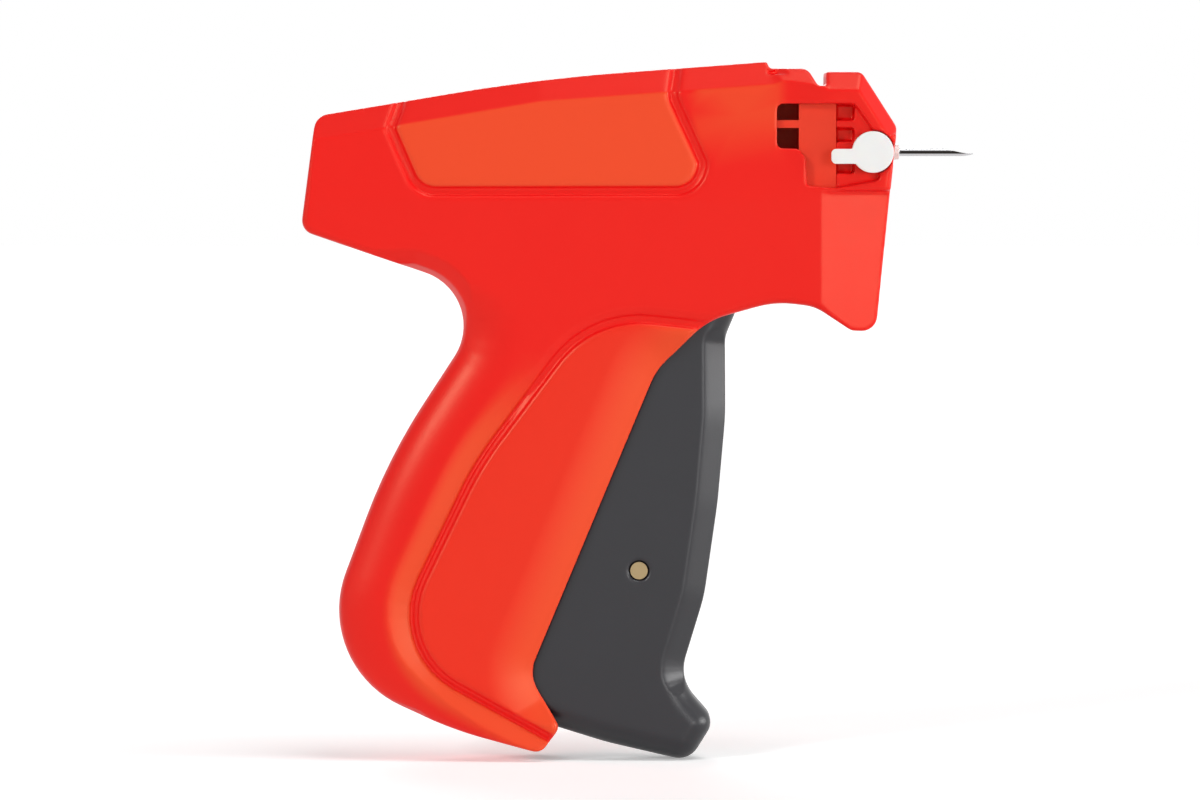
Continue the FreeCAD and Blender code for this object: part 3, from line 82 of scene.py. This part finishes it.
GRIP_PANEL = [
    (-38.6, -35.1, 0), (-38.6, -141.7, 0), (-107.6, -103.4, 18.0), (-88.5, -64.0, 70.0),
    (-64.6, -32.2, 23.0),
]
TRIGGER_FRONT = [
    (-34.1, -33.2, 0), (-36.3, -38.4, 7.0), (-36.2, -55.0, 60.0), (-37.8, -73.0, 80.0),
    (-40.6, -92.5, 30.0), (-45.9, -109.9, 9.0), (-38.4, -118.4, 0),
]
TOP_LINE = np.array([(-121.2, 7.45), (-75.0, 15.2), (-27.2, 18.7)])

# Two stretches of the outline, each from the place where it begins to the place where it ends
HANDLE_BACK = [(-80.0, -122.7), (-97.0, -25.3)]
GRIP_FRONT = [(-42.0, -36.0), (-71.0, -119.4)]


# Lines

STRAIGHT = 1e-4  # a corner that bends less than twice this, in radians, isn't turned
TINY = 1e-12


def rounded(corners, steps=10):
    """The closed line through corners (x, z, radius), with each corner turned by an arc."""
    line = []
    for index, (x, z, radius) in enumerate(corners):
        corner = np.array([x, z])
        before = np.array(corners[index - 1][:2]) - corner
        after = np.array(corners[(index + 1) % len(corners)][:2]) - corner
        before /= np.linalg.norm(before)
        after /= np.linalg.norm(after)
        half = math.acos(float(np.clip(before @ after, -1, 1))) / 2
        if radius == 0 or half > math.pi / 2 - STRAIGHT:
            line.append(corner)
            continue
        middle = (before + after) / np.linalg.norm(before + after)
        centre = corner + middle * radius / math.sin(half)
        start = corner + before * radius / math.tan(half) - centre
        end = corner + after * radius / math.tan(half) - centre
        turn = math.pi - 2 * half
        side = np.sign(start[0] * end[1] - start[1] * end[0])
        for angle in np.linspace(0, turn, steps):
            cos, sin = math.cos(angle), math.sin(angle) * side
            turned = [start[0] * cos - start[1] * sin, start[0] * sin + start[1] * cos]
            line.append(centre + turned)
    return np.array(line)


def stretch(first, last):
    """The part of the housing's outline between its points nearest to two places."""
    outline = rounded(OUTLINE)
    start, end = [np.argmin(np.linalg.norm(outline - place, axis=1)) for place in (first, last)]
    return outline[start:end + 1]


def distance_to(points, line):
    """Each point's distance to an open line, and how far along the line (0 to 1) that is."""
    best = np.full(len(points), np.inf)
    along = np.zeros(len(points))
    lengths = np.linalg.norm(np.diff(line, axis=0), axis=1)
    starts = np.concatenate([[0], np.cumsum(lengths)])
    for index, (a, b) in enumerate(zip(line[:-1], line[1:])):
        run = b - a
        share = np.clip(((points - a) @ run) / max(run @ run, TINY), 0, 1)
        gap = np.linalg.norm(points - (a + share[:, None] * run), axis=1)
        nearer = gap < best
        best[nearer] = gap[nearer]
        along[nearer] = (starts[index] + share[nearer] * lengths[index]) / starts[-1]
    return best, along


def inside(points, line):
    """Which points lie inside a closed line."""
    found = np.zeros(len(points), bool)
    for (x0, z0), (x1, z1) in zip(line, np.roll(line, -1, axis=0)):
        if z0 == z1:
            continue
        spans = (points[:, 1] < z0) != (points[:, 1] < z1)
        found ^= spans & (points[:, 0] < x0 + (points[:, 1] - z0) * (x1 - x0) / (z1 - z0))
    return found


def panel_distance(points, corners):
    """Distance to a panel's outer line, negative inside the panel."""
    line = rounded(corners)
    gap, _ = distance_to(points, np.vstack([line, line[:1]]))
    return np.where(inside(points, line), -gap, gap)


def smoothstep(start, end, value):
    """Rises smoothly from 0 where the value is at start to 1 where it is at end."""
    share = np.clip((value - start) / (end - start), 0, 1)
    return share * share * (3 - 2 * share)


# Meshes

def copy_of(name, node):
    """A new object with a copy of a CAD node's mesh."""
    mesh = NODES[node].data.copy()
    mesh.materials.clear()
    mesh.name = name
    piece = bpy.data.objects.new(name, mesh)
    bpy.context.scene.collection.objects.link(piece)
    return piece


def settle(piece):
    """Applies the piece's modifiers to its mesh."""
    graph = bpy.context.evaluated_depsgraph_get()
    mesh = bpy.data.meshes.new_from_object(piece.evaluated_get(graph))
    piece.modifiers.clear()
    piece.data = mesh
    mesh.name = piece.name
    for face in mesh.polygons:
        face.use_smooth = True


def remould(piece, voxel, passes):
    """Gives the piece an even dense mesh whose edges are rounded as a moulding's are."""
    remesh = piece.modifiers.new("remesh", "REMESH")
    remesh.mode = "VOXEL"
    remesh.voxel_size = voxel * MM
    remesh.use_smooth_shade = True
    soften = piece.modifiers.new("soften", "SMOOTH")
    soften.factor = 0.5
    soften.iterations = passes
    settle(piece)


def thin_out(piece, ratio):
    """Removes the faces that flat areas don't need."""
    decimate = piece.modifiers.new("decimate", "DECIMATE")
    decimate.ratio = ratio
    settle(piece)


def read_points(piece):
    """The places of the mesh's points, in millimetres."""
    points = np.empty(len(piece.data.vertices) * 3, np.float32)
    piece.data.vertices.foreach_get("co", points)
    return points.reshape(-1, 3).astype(float) / MM


def write_points(piece, points):
    """Moves the mesh's points to places in millimetres."""
    piece.data.vertices.foreach_set("co", (points * MM).astype(np.float32).ravel())
    piece.data.update()


def paint(piece, name, values):
    """Stores one value for each of the mesh's points, for the material to read."""
    attribute = piece.data.attributes.new(name, "FLOAT", "POINT")
    attribute.data.foreach_set("value", values.astype(np.float32))


# Shapes. A fade is a pair: where it begins, and where it is full.

# Half widths of the housing, and the bevel that narrows it towards the top line
SHELL_HALF = 11.5
TOP_HALF = 8.3
TOP_SPREAD = 3.2
TOP_BEVEL = 4.8

# The cavity's faces lie within CAVITY_HALF of the middle and clear of the outer edges, and stay
# LEAST_WALL under the outer skin
CAVITY_HALF = 9.36
CAVITY_MARGIN = 2.0
LEAST_WALL = 1.2

# The edge's roll, and what it gains along the handle's back
EDGE_ROLL = 1.2
BACK_REACH = 10.8
BACK_DEPTH = 4.0
BACK_STARTS, BACK_STOPS = (0.0, 0.25), (1.0, 0.90)  # shares of the way along it

# The slope beside the grip's front edge
FRONT_LEAST = 0.5
FRONT_REACH = 9.0
FRONT_SLOPE = 0.18
FRONT_BEND = 1.5
FRONT_STARTS, FRONT_STOPS = (0.0, 0.12), (1.0, 0.92)

# How much the barrel's sides lean in towards the top, from this height up, and not at the nose
LEAN = 0.04
LEAN_FOOT = -10.0
LEAN_FADE = (-14.0, -24.0)

# Grooves round the panels. A wall slopes from just outside its line to just inside it.
GROOVE = 2.0
WALL_OUT = 0.1
WALL_IN = 0.35
OUTER_LIP_BEND = 1.3
INNER_LIP_REACH = 1.4
INNER_LIP_DEPTH = 0.3
MIDDLE_FADE = (-0.4 * GROOVE, -0.6 * GROOVE)
BARREL_GROOVE_DEPTH = 0.65
BARREL_LIP_REACH = 0.9
BARREL_LIP_DEPTH = 0.15
BARREL_GROOVE_FOOT = -14.0
GRIP_GROOVE_DEPTH = 0.6
GRIP_LIP_REACH = 1.6
GRIP_LIP_GAIN = 3.8
GRIP_LIP_FADE = (-42.0, -62.0)
GRIP_LIP_SLOPE = 0.18

# The facet on either side of the trigger's front
TRIGGER_HALF = 8.2
FACET_WIDTH = 4.8
FACET_SLOPE = 0.93
FACET_BEND = 1.0
FACET_STARTS, FACET_STOPS = (0.0, 0.08), (0.98, 0.86)

# The needle's seam, along its near side, and its tip
SEAM_HEIGHT = -0.02
SEAM_FADE = (0.42, 0.22)
SEAM_STARTS = 0.1
SEAM_SUNK = 0.05
NEEDLE_SKIN = 0.7
TIP_STARTS = 12.8
TIP_LENGTH = 2.7
TIP_RISE = 0.42


def lip(distance, reach, depth):
    """How much a surface rolls off towards an edge at distance 0, over a reach."""
    share = np.clip(1 - distance / reach, 0, 1)
    return depth * (1 - np.sqrt(1 - share ** 2))


def groove(distance, outer_reach, outer_depth, depth):
    """Depth of a groove with rounded lips; distance is from its outer line, negative inside."""
    near_wall = smoothstep(WALL_OUT, -WALL_IN, distance)
    far_wall = smoothstep(-GROOVE - WALL_OUT, -GROOVE + WALL_IN, distance)
    share = np.clip(1 - np.maximum(distance, 0) / outer_reach, 0, 1)
    outer = outer_depth * share ** OUTER_LIP_BEND
    inner = lip(np.maximum(-GROOVE - distance, 0), INNER_LIP_REACH, INNER_LIP_DEPTH)
    side = smoothstep(*MIDDLE_FADE, distance)
    return outer * (1 - side) + inner * side + depth * (near_wall * far_wall)


def grooves(flat):
    """Depth of the grip's groove and of the barrel's."""
    z = flat[:, 1]
    reach = GRIP_LIP_REACH + GRIP_LIP_GAIN * smoothstep(*GRIP_LIP_FADE, z)
    grip = panel_distance(flat, GRIP_PANEL)
    barrel = panel_distance(flat, BARREL_PANEL)
    grip_groove = groove(grip, reach, GRIP_LIP_SLOPE * reach, GRIP_GROOVE_DEPTH)
    barrel_groove = groove(barrel, BARREL_LIP_REACH, BARREL_LIP_DEPTH, BARREL_GROOVE_DEPTH)
    return grip_groove, barrel_groove * (z > BARREL_GROOVE_FOOT)


def shape_housing(piece):
    """Rolls the outer skin's edges off and draws its grooves, always inside the solid's skin."""
    points = read_points(piece)
    flat = points[:, [0, 2]]
    x, z = flat.T
    back, along = distance_to(flat, stretch(*HANDLE_BACK))
    share = smoothstep(*BACK_STARTS, along) * smoothstep(*BACK_STOPS, along)
    roll = lip(back, EDGE_ROLL + BACK_REACH * share, EDGE_ROLL + BACK_DEPTH * share)
    front, along = distance_to(flat, stretch(*GRIP_FRONT))
    share = smoothstep(*FRONT_STARTS, along) * smoothstep(*FRONT_STOPS, along)
    reach = FRONT_LEAST + FRONT_REACH * share
    slope = FRONT_SLOPE * reach * np.clip(1 - front / reach, 0, 1) ** FRONT_BEND
    lean = LEAN * np.clip(z - LEAN_FOOT, 0, None) * smoothstep(*LEAN_FADE, x)
    grip_groove, barrel_groove = grooves(flat)
    sunk = np.maximum(roll, grip_groove) + (lean + barrel_groove)
    top, _ = distance_to(flat, TOP_LINE)
    level = np.minimum(SHELL_HALF, TOP_HALF + TOP_SPREAD * top / TOP_BEVEL) - sunk
    depth = np.abs(points[:, 1])
    cavity = (depth < CAVITY_HALF) & (back > CAVITY_MARGIN) & (top > CAVITY_MARGIN)
    limit = np.where(cavity, level - LEAST_WALL, np.minimum(level, SHELL_HALF - slope))
    points[:, 1] = np.sign(points[:, 1]) * np.minimum(depth, limit)
    write_points(piece, points)


def shape_trigger(piece):
    """Slopes the edges beside the trigger's front off in a facet."""
    points = read_points(piece)
    gap, along = distance_to(points[:, [0, 2]], rounded(TRIGGER_FRONT))
    width = FACET_WIDTH * smoothstep(*FACET_STARTS, along) * smoothstep(*FACET_STOPS, along)
    reach = np.clip(width - gap, 0, None)
    limit = TRIGGER_HALF - FACET_SLOPE * reach ** 2 / (reach + FACET_BEND)
    points[:, 1] = np.sign(points[:, 1]) * np.minimum(np.abs(points[:, 1]), limit)
    write_points(piece, points)


def shape_needle(piece):
    """Sinks the tube's seam a little and turns its tip up; gives how much each point is seam, which
    the material paints dark as shade.
    """
    points = read_points(piece)
    x, y, z = points.T
    seam = smoothstep(*SEAM_FADE, np.abs(z - SEAM_HEIGHT)) * (y < 0) * (x > SEAM_STARTS)
    seam *= np.hypot(y, z) > NEEDLE_SKIN
    points[:, 1] += SEAM_SUNK * seam
    points[:, 2] += TIP_RISE * np.clip((x - TIP_STARTS) / TIP_LENGTH, 0, 1) ** 2
    write_points(piece, points)
    return seam


# Orange of the housing, from 0 for the plain red to 1 for the panels' more orange one, partly the
# panels' own colour and partly painted highlight
PANEL_FADE = (-GROOVE + 0.2, -GROOVE - 0.5)
BARREL_PANEL_TOP = 16.0
GRIP_TINT = 0.3
# The grip's front, the strip beside its groove and the head's top get painted highlight, not the
# moulding's own colour
GRIP_FRONT_HIGHLIGHT = 0.7
GRIP_FRONT_FADE = (11.0, 1.5)
STRIP_FADE = (6.0, 2.5)
STRIP_EDGE = -0.2
STRIP_TOP_FADE = (-40.0, -60.0)
HEAD_HIGHLIGHT = 0.8
HEAD_BACK_FADE = (-44.0, -41.0)
HEAD_FRONT_FADE = (-23.0, -27.0)
HEAD_FOOT_FADE = (-3.0, 9.0)
OUTER_SKIN_FADE = (9.4, 9.9)
BEVEL_FADE = (4.4, 5.0)


def paint_panels_and_highlights(piece):
    """Paints the panels more orange (the grip's most at its front), partly their own colour and
    partly painted highlight, and paints highlight on the strip beside the grip's and on the head.
    """
    points = read_points(piece)
    flat = points[:, [0, 2]]
    x, z = flat.T
    barrel = panel_distance(flat, BARREL_PANEL)
    grip = panel_distance(flat, GRIP_PANEL)
    front, _ = distance_to(flat, stretch(*GRIP_FRONT))
    barrel_tint_and_highlight = smoothstep(*PANEL_FADE, barrel) * (z < BARREL_PANEL_TOP)
    # Painted highlight along the grip's front, on top of the panel's orange
    grip_tint_and_highlight = GRIP_TINT + GRIP_FRONT_HIGHLIGHT * smoothstep(*GRIP_FRONT_FADE, front)
    grip_tint_and_highlight = grip_tint_and_highlight * smoothstep(*PANEL_FADE, grip)
    # Painted highlight on the strip beside the grip's groove
    strip = smoothstep(*STRIP_FADE, grip) * (grip > STRIP_EDGE) * smoothstep(*STRIP_TOP_FADE, z)
    # Painted highlight across the head's top
    head = smoothstep(*HEAD_BACK_FADE, x) * smoothstep(*HEAD_FRONT_FADE, x)
    head *= smoothstep(*HEAD_FOOT_FADE, z) * (barrel > 0)
    tint_and_highlight = np.max([barrel_tint_and_highlight, grip_tint_and_highlight, strip, HEAD_HIGHLIGHT * head], axis=0)
    top, _ = distance_to(flat, TOP_LINE)
    outer = smoothstep(*OUTER_SKIN_FADE, np.abs(points[:, 1])) * smoothstep(*BEVEL_FADE, top)
    # Stores the panels' orange together with the painted highlights
    paint(piece, "panel_and_highlight", tint_and_highlight * outer)


# Materials. A colour is sRGB from 0 to 255.

NOISE_LOW, NOISE_HIGH = 0.3, 0.7  # most of a noise's values lie between these


def decoded(level):
    """A level of sRGB, from 0 to 1, as the linear one."""
    return level / 12.92 if level <= 0.04045 else ((level + 0.055) / 1.055) ** 2.4


def linear(colour):
    """An sRGB colour as Blender's linear one."""
    return (*[decoded(level / 255) for level in colour], 1.0)


def shader(name, colour, roughness, **inputs):
    """A new material, with its node tree and its main node."""
    material = bpy.data.materials.new(name)
    material.use_nodes = True
    tree = material.node_tree
    base = tree.nodes["Principled BSDF"]
    base.inputs["Base Color"].default_value = linear(colour)
    base.inputs["Roughness"].default_value = roughness
    for key, value in inputs.items():
        base.inputs[key.replace("_", " ")].default_value = value
    return material, tree, base


def noise(tree, place, scale):
    """A noise texture at a place, which is a node's output."""
    texture = tree.nodes.new("ShaderNodeTexNoise")
    texture.inputs["Scale"].default_value = scale
    tree.links.new(place, texture.inputs["Vector"])
    return texture


def grain(tree, base, scale, height, strength):
    """Fine moulded grain as a bump; gives the place, for the material's other textures."""
    place = tree.nodes.new("ShaderNodeTexCoord").outputs["Object"]
    bump = tree.nodes.new("ShaderNodeBump")
    bump.inputs["Strength"].default_value = strength
    bump.inputs["Distance"].default_value = height
    tree.links.new(noise(tree, place, scale).outputs["Fac"], bump.inputs["Height"])
    tree.links.new(bump.outputs["Normal"], base.inputs["Normal"])
    return place


def mottle(tree, base, place, scale, low, high):
    """Slow variation of the roughness over the surface."""
    spread = tree.nodes.new("ShaderNodeMapRange")
    spread.inputs["From Min"].default_value = NOISE_LOW
    spread.inputs["From Max"].default_value = NOISE_HIGH
    spread.inputs["To Min"].default_value = low
    spread.inputs["To Max"].default_value = high
    tree.links.new(noise(tree, place, scale).outputs["Fac"], spread.inputs["Value"])
    tree.links.new(spread.outputs["Result"], base.inputs["Roughness"])


def blend_colours(tree, base, share, first, second):
    """Two colours mixed by a share, which is a node's output, as the material's colour."""
    mix = tree.nodes.new("ShaderNodeMix")
    mix.data_type = "RGBA"
    mix.inputs["A"].default_value = linear(first)
    mix.inputs["B"].default_value = linear(second)
    tree.links.new(share, mix.inputs["Factor"])
    tree.links.new(mix.outputs["Result"], base.inputs["Base Color"])
    return mix


def vary_colour(tree, base, place, scale, first, second):
    """Slight colour variation between two colours."""
    texture = noise(tree, place, scale)
    texture.inputs["Detail"].default_value = 4.0
    return blend_colours(tree, base, texture.outputs["Fac"], first, second)


def painted(tree, name):
    """The value that paint() stored for each point."""
    node = tree.nodes.new("ShaderNodeAttribute")
    node.attribute_name = name
    return node.outputs["Fac"]


def red_plastic():
    """Glossy moulded red, more orange where the panels are, partly their own colour and partly
    painted highlight, and on the painted highlights of the grip's front, the strip and the head.
    """
    red, panel_and_highlight_red = (238, 18, 20), (240, 72, 38)
    material, tree, base = shader(
        "red_plastic", red, 0.32, Specular_IOR_Level=0.34, Specular_Tint=(1, 0.88, 0.55, 1)
    )
    place = grain(tree, base, scale=2600, height=0.00003, strength=0.5)
    plain_red = vary_colour(tree, base, place, 60, (238, 14, 20), (240, 22, 22))
    # The orange end stands for the panels' own colour and for painted highlight
    both = blend_colours(tree, base, painted(tree, "panel_and_highlight"), red, panel_and_highlight_red)
    tree.links.new(plain_red.outputs["Result"], both.inputs["A"])
    mottle(tree, base, place, scale=400, low=0.31, high=0.33)
    return material


def dark_plastic():
    """Charcoal with a satin finish."""
    material, tree, base = shader("charcoal_plastic", (20, 19, 25), 0.36, Specular_IOR_Level=0.55)
    place = grain(tree, base, scale=3000, height=0.00002, strength=0.5)
    vary_colour(tree, base, place, 90, (17, 16, 22), (22, 21, 28))
    mottle(tree, base, place, scale=400, low=0.35, high=0.37)
    return material


def plain(name, colour, roughness, scale=2500, height=0.00002, **inputs):
    """One colour with fine grain and a slightly uneven gloss."""
    material, tree, base = shader(name, colour, roughness, **inputs)
    place = grain(tree, base, scale, height, strength=0.4)
    mottle(tree, base, place, scale=500, low=roughness * 0.85, high=roughness * 1.15)
    return material


def metal(name, colour, roughness, scale=4000, metallic=1.0):
    """A plain material with finer grain that reflects as metal does."""
    return plain(name, colour, roughness, scale, height=0.00001, Metallic=metallic)


def needle_steel():
    """Bright steel, with painted shade along the seam."""
    bright, seam_shade = (196, 196, 198), (44, 40, 38)
    material, tree, base = shader("needle_steel", bright, 0.2, Metallic=1.0)
    grain(tree, base, scale=4000, height=0.00001, strength=0.4)
    # The dark seam colour is painted shade
    blend_colours(tree, base, painted(tree, "seam"), bright, seam_shade)
    return material


RED = red_plastic()
CHARCOAL = dark_plastic()
WHITE = plain("white_nylon", (240, 240, 238), 0.35, Subsurface_Weight=0.15, Subsurface_Scale=0.002)
HUB = plain("hub_nylon", (236, 236, 232), 0.35)
INNER = plain("natural_nylon", (205, 203, 196), 0.5)
GUIDE = plain("guide_plastic", (240, 62, 34), 0.45, Specular_IOR_Level=0.25)
STEEL = metal("steel", (176, 178, 182), 0.22)
NEEDLE = needle_steel()
BLADE = metal("blade_steel", (196, 198, 202), 0.18)
BRASS = metal("brass", (160, 140, 104), 0.42, scale=3000, metallic=0.8)
SPRING = metal("spring_steel", (150, 152, 156), 0.28)
RUBBER = plain("rubber", (34, 34, 36), 0.75)
SCREW = metal("zinc_screw", (170, 172, 170), 0.32, scale=3500)

FINISH = {
    "trigger_link_pin": BRASS,
    "clip_guide": GUIDE, "knife": BLADE, "plunger_rod": STEEL, "rod_guide": INNER,
    "slide_bumper": RUBBER, "drive_lever": INNER, "plunger_slide": INNER,
    "feed_sprocket": INNER, "ratchet_wheel": INNER, "feed_axle": STEEL,
    "feed_rocker": STEEL, "feed_link": STEEL, "feed_pawl": STEEL,
    "trigger_spring": SPRING, "pawl_spring": SPRING, "detent_spring": SPRING,
    "trigger_pivots": STEEL, "lever_pivot_pin": STEEL, "slide_drive_pin": STEEL,
    "link_lower_pin": STEEL, "link_upper_pin": STEEL, "pawl_pin": STEEL,
    "housing_screws": SCREW,
}


# Pieces

def finish_nodes():
    """Gives each CAD node that stays in view its finish."""
    for name, material in FINISH.items():
        for slot in NODES[name].material_slots:
            slot.material = material


def housing():
    """The two shells, reshaped on a coarser mesh and then given their final one."""
    for name, node in (("housing_near", "housing_right"), ("housing_far", "housing_left")):
        shell = copy_of(name, node)
        remould(shell, voxel=0.3, passes=1)
        shape_housing(shell)
        remould(shell, voxel=0.28, passes=3)
        thin_out(shell, ratio=0.25)
        paint_panels_and_highlights(shell)
        shell.data.materials.append(RED)
        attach(shell, "body")
        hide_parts(node)


def moulded(name, node, body, material, voxel, passes, ratio, reshape=None):
    """A CAD node's shape with softly rounded edges, in its place."""
    piece = copy_of(name, node)
    if reshape:
        remould(piece, voxel, passes=1)
        reshape(piece)
    remould(piece, voxel, passes)
    thin_out(piece, ratio)
    piece.data.materials.append(material)
    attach(piece, body)
    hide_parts(node)
    return piece


def trigger():
    """The finger trigger, with the facet beside its front."""
    moulded("trigger_moulding", "trigger", "trigger", CHARCOAL,
            voxel=0.26, passes=3, ratio=0.3, reshape=shape_trigger)


def knob():
    """The white quarter-turn knob."""
    moulded("knob_moulding", "lock_knob", "knob", WHITE, voxel=0.12, passes=5, ratio=0.4)


def hub():
    """The white hub that holds the needle."""
    moulded("hub_moulding", "needle_hub", "body", HUB, voxel=0.12, passes=2, ratio=0.4)


def needle():
    """The slit tube, with its rolled seam and a tip that is turned up towards the middle."""
    tube = moulded("needle_steel", "needle", "body", NEEDLE,
                   voxel=0.07, passes=2, ratio=0.6)
    # The seam mask is where the steel is painted dark as shade
    paint(tube, "seam", shape_needle(tube))


# Stage

FLOOR_SIZE = 12
FLOOR_PLACE = (-0.06, 3.0)
FLOOR_GAP = 0.0003

# Strengths for the rays that light the object and for those that show the floor or the sky
FLOOR_GLOW = (0.0, 0.32)
SKY_GLOW = (0.12, 1.0)

# Each lamp's direction, its angle in degrees, which softens its shadow, and its strength
LAMPS = {
    "key": ((-0.30, 0.24, -0.92), 30, 1.05),
    "right": ((-0.44, 0.89, -0.04), 18, 0.73),
    "side": ((-0.98, 0.16, -0.04), 38, 2.5),
    "left": ((0.55, 0.73, -0.40), 12, 0.90),
    "back_left": ((0.87, 0.45, -0.10), 36, 0.15),
    "behind": ((0.16, -0.84, -0.52), 30, 0.9),
}

# The place in the middle of the picture, and how wide the view is there
VIEW_TARGET = (-0.0623, -0.0115, -0.0513)
VIEW_WIDTH = 0.2484
VIEW_RISE = 2.0  # degrees above level
SENSOR = 36  # the camera's sensor and lens are in millimetres
LENS = 200
CLIP_END = 50


def glow(tree, lit, shown):
    """A strength for the rays that light the object, and another for those that show it."""
    path = tree.nodes.new("ShaderNodeLightPath")
    showing = path.outputs["Is Camera Ray"]
    for ray in ("Is Glossy Ray", "Is Transmission Ray"):
        either = tree.nodes.new("ShaderNodeMath")
        either.operation = "MAXIMUM"
        tree.links.new(showing, either.inputs[0])
        tree.links.new(path.outputs[ray], either.inputs[1])
        showing = either.outputs["Value"]
    strength = tree.nodes.new("ShaderNodeMapRange")
    strength.inputs["To Min"].default_value = lit
    strength.inputs["To Max"].default_value = shown
    tree.links.new(showing, strength.inputs["Value"])
    return strength.outputs["Result"]


def floor():
    """A wide white floor just under the object, which glows a little in view."""
    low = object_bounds()[0]
    bpy.ops.mesh.primitive_plane_add(size=FLOOR_SIZE, location=(*FLOOR_PLACE, low.z - FLOOR_GAP))
    plane = bpy.context.object
    plane.name = "floor"
    material, tree, base = shader("floor_white", (250, 250, 250), 0.9, Specular_IOR_Level=0.1)
    light = tree.nodes.new("ShaderNodeEmission")
    add = tree.nodes.new("ShaderNodeAddShader")
    out = tree.nodes["Material Output"]
    tree.links.new(glow(tree, *FLOOR_GLOW), light.inputs["Strength"])
    tree.links.new(base.outputs["BSDF"], add.inputs[0])
    tree.links.new(light.outputs["Emission"], add.inputs[1])
    tree.links.new(add.outputs["Shader"], out.inputs["Surface"])
    plane.data.materials.append(material)
    plane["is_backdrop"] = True


def world():
    """A white surround, which is bright in view and adds little light."""
    sky = bpy.data.worlds.new("studio")
    bpy.context.scene.world = sky
    sky.use_nodes = True
    tree = sky.node_tree
    ground = tree.nodes["Background"]
    ground.inputs["Color"].default_value = (1, 1, 1, 1)
    tree.links.new(glow(tree, *SKY_GLOW), ground.inputs["Strength"])


def lights():
    """Soft distant lamps, each shining along its direction."""
    for name, (direction, angle, strength) in LAMPS.items():
        data = bpy.data.lights.new(name, "SUN")
        data.angle = math.radians(angle)
        data.energy = strength
        lamp = bpy.data.objects.new(name, data)
        bpy.context.scene.collection.objects.link(lamp)
        lamp.rotation_euler = Vector(direction).to_track_quat("-Z", "Y").to_euler()


def camera():
    """The photograph's view: nearly level, square to the side, through a long lens."""
    data = bpy.data.cameras.new("camera")
    data.sensor_width = SENSOR
    data.lens = LENS
    data.clip_end = CLIP_END
    eye = bpy.data.objects.new("camera", data)
    bpy.context.scene.collection.objects.link(eye)
    target = Vector(VIEW_TARGET)
    distance = VIEW_WIDTH / SENSOR * LENS
    rise = math.radians(VIEW_RISE)
    eye.location = target + distance * Vector((0, -math.cos(rise), math.sin(rise)))
    eye.rotation_euler = (target - eye.location).to_track_quat("-Z", "Y").to_euler()
    bpy.context.scene.camera = eye


housing()
trigger()
knob()
hub()
needle()
finish_nodes()
floor()
world()
lights()
camera()

bpy.context.scene.view_settings.view_transform = "Standard"
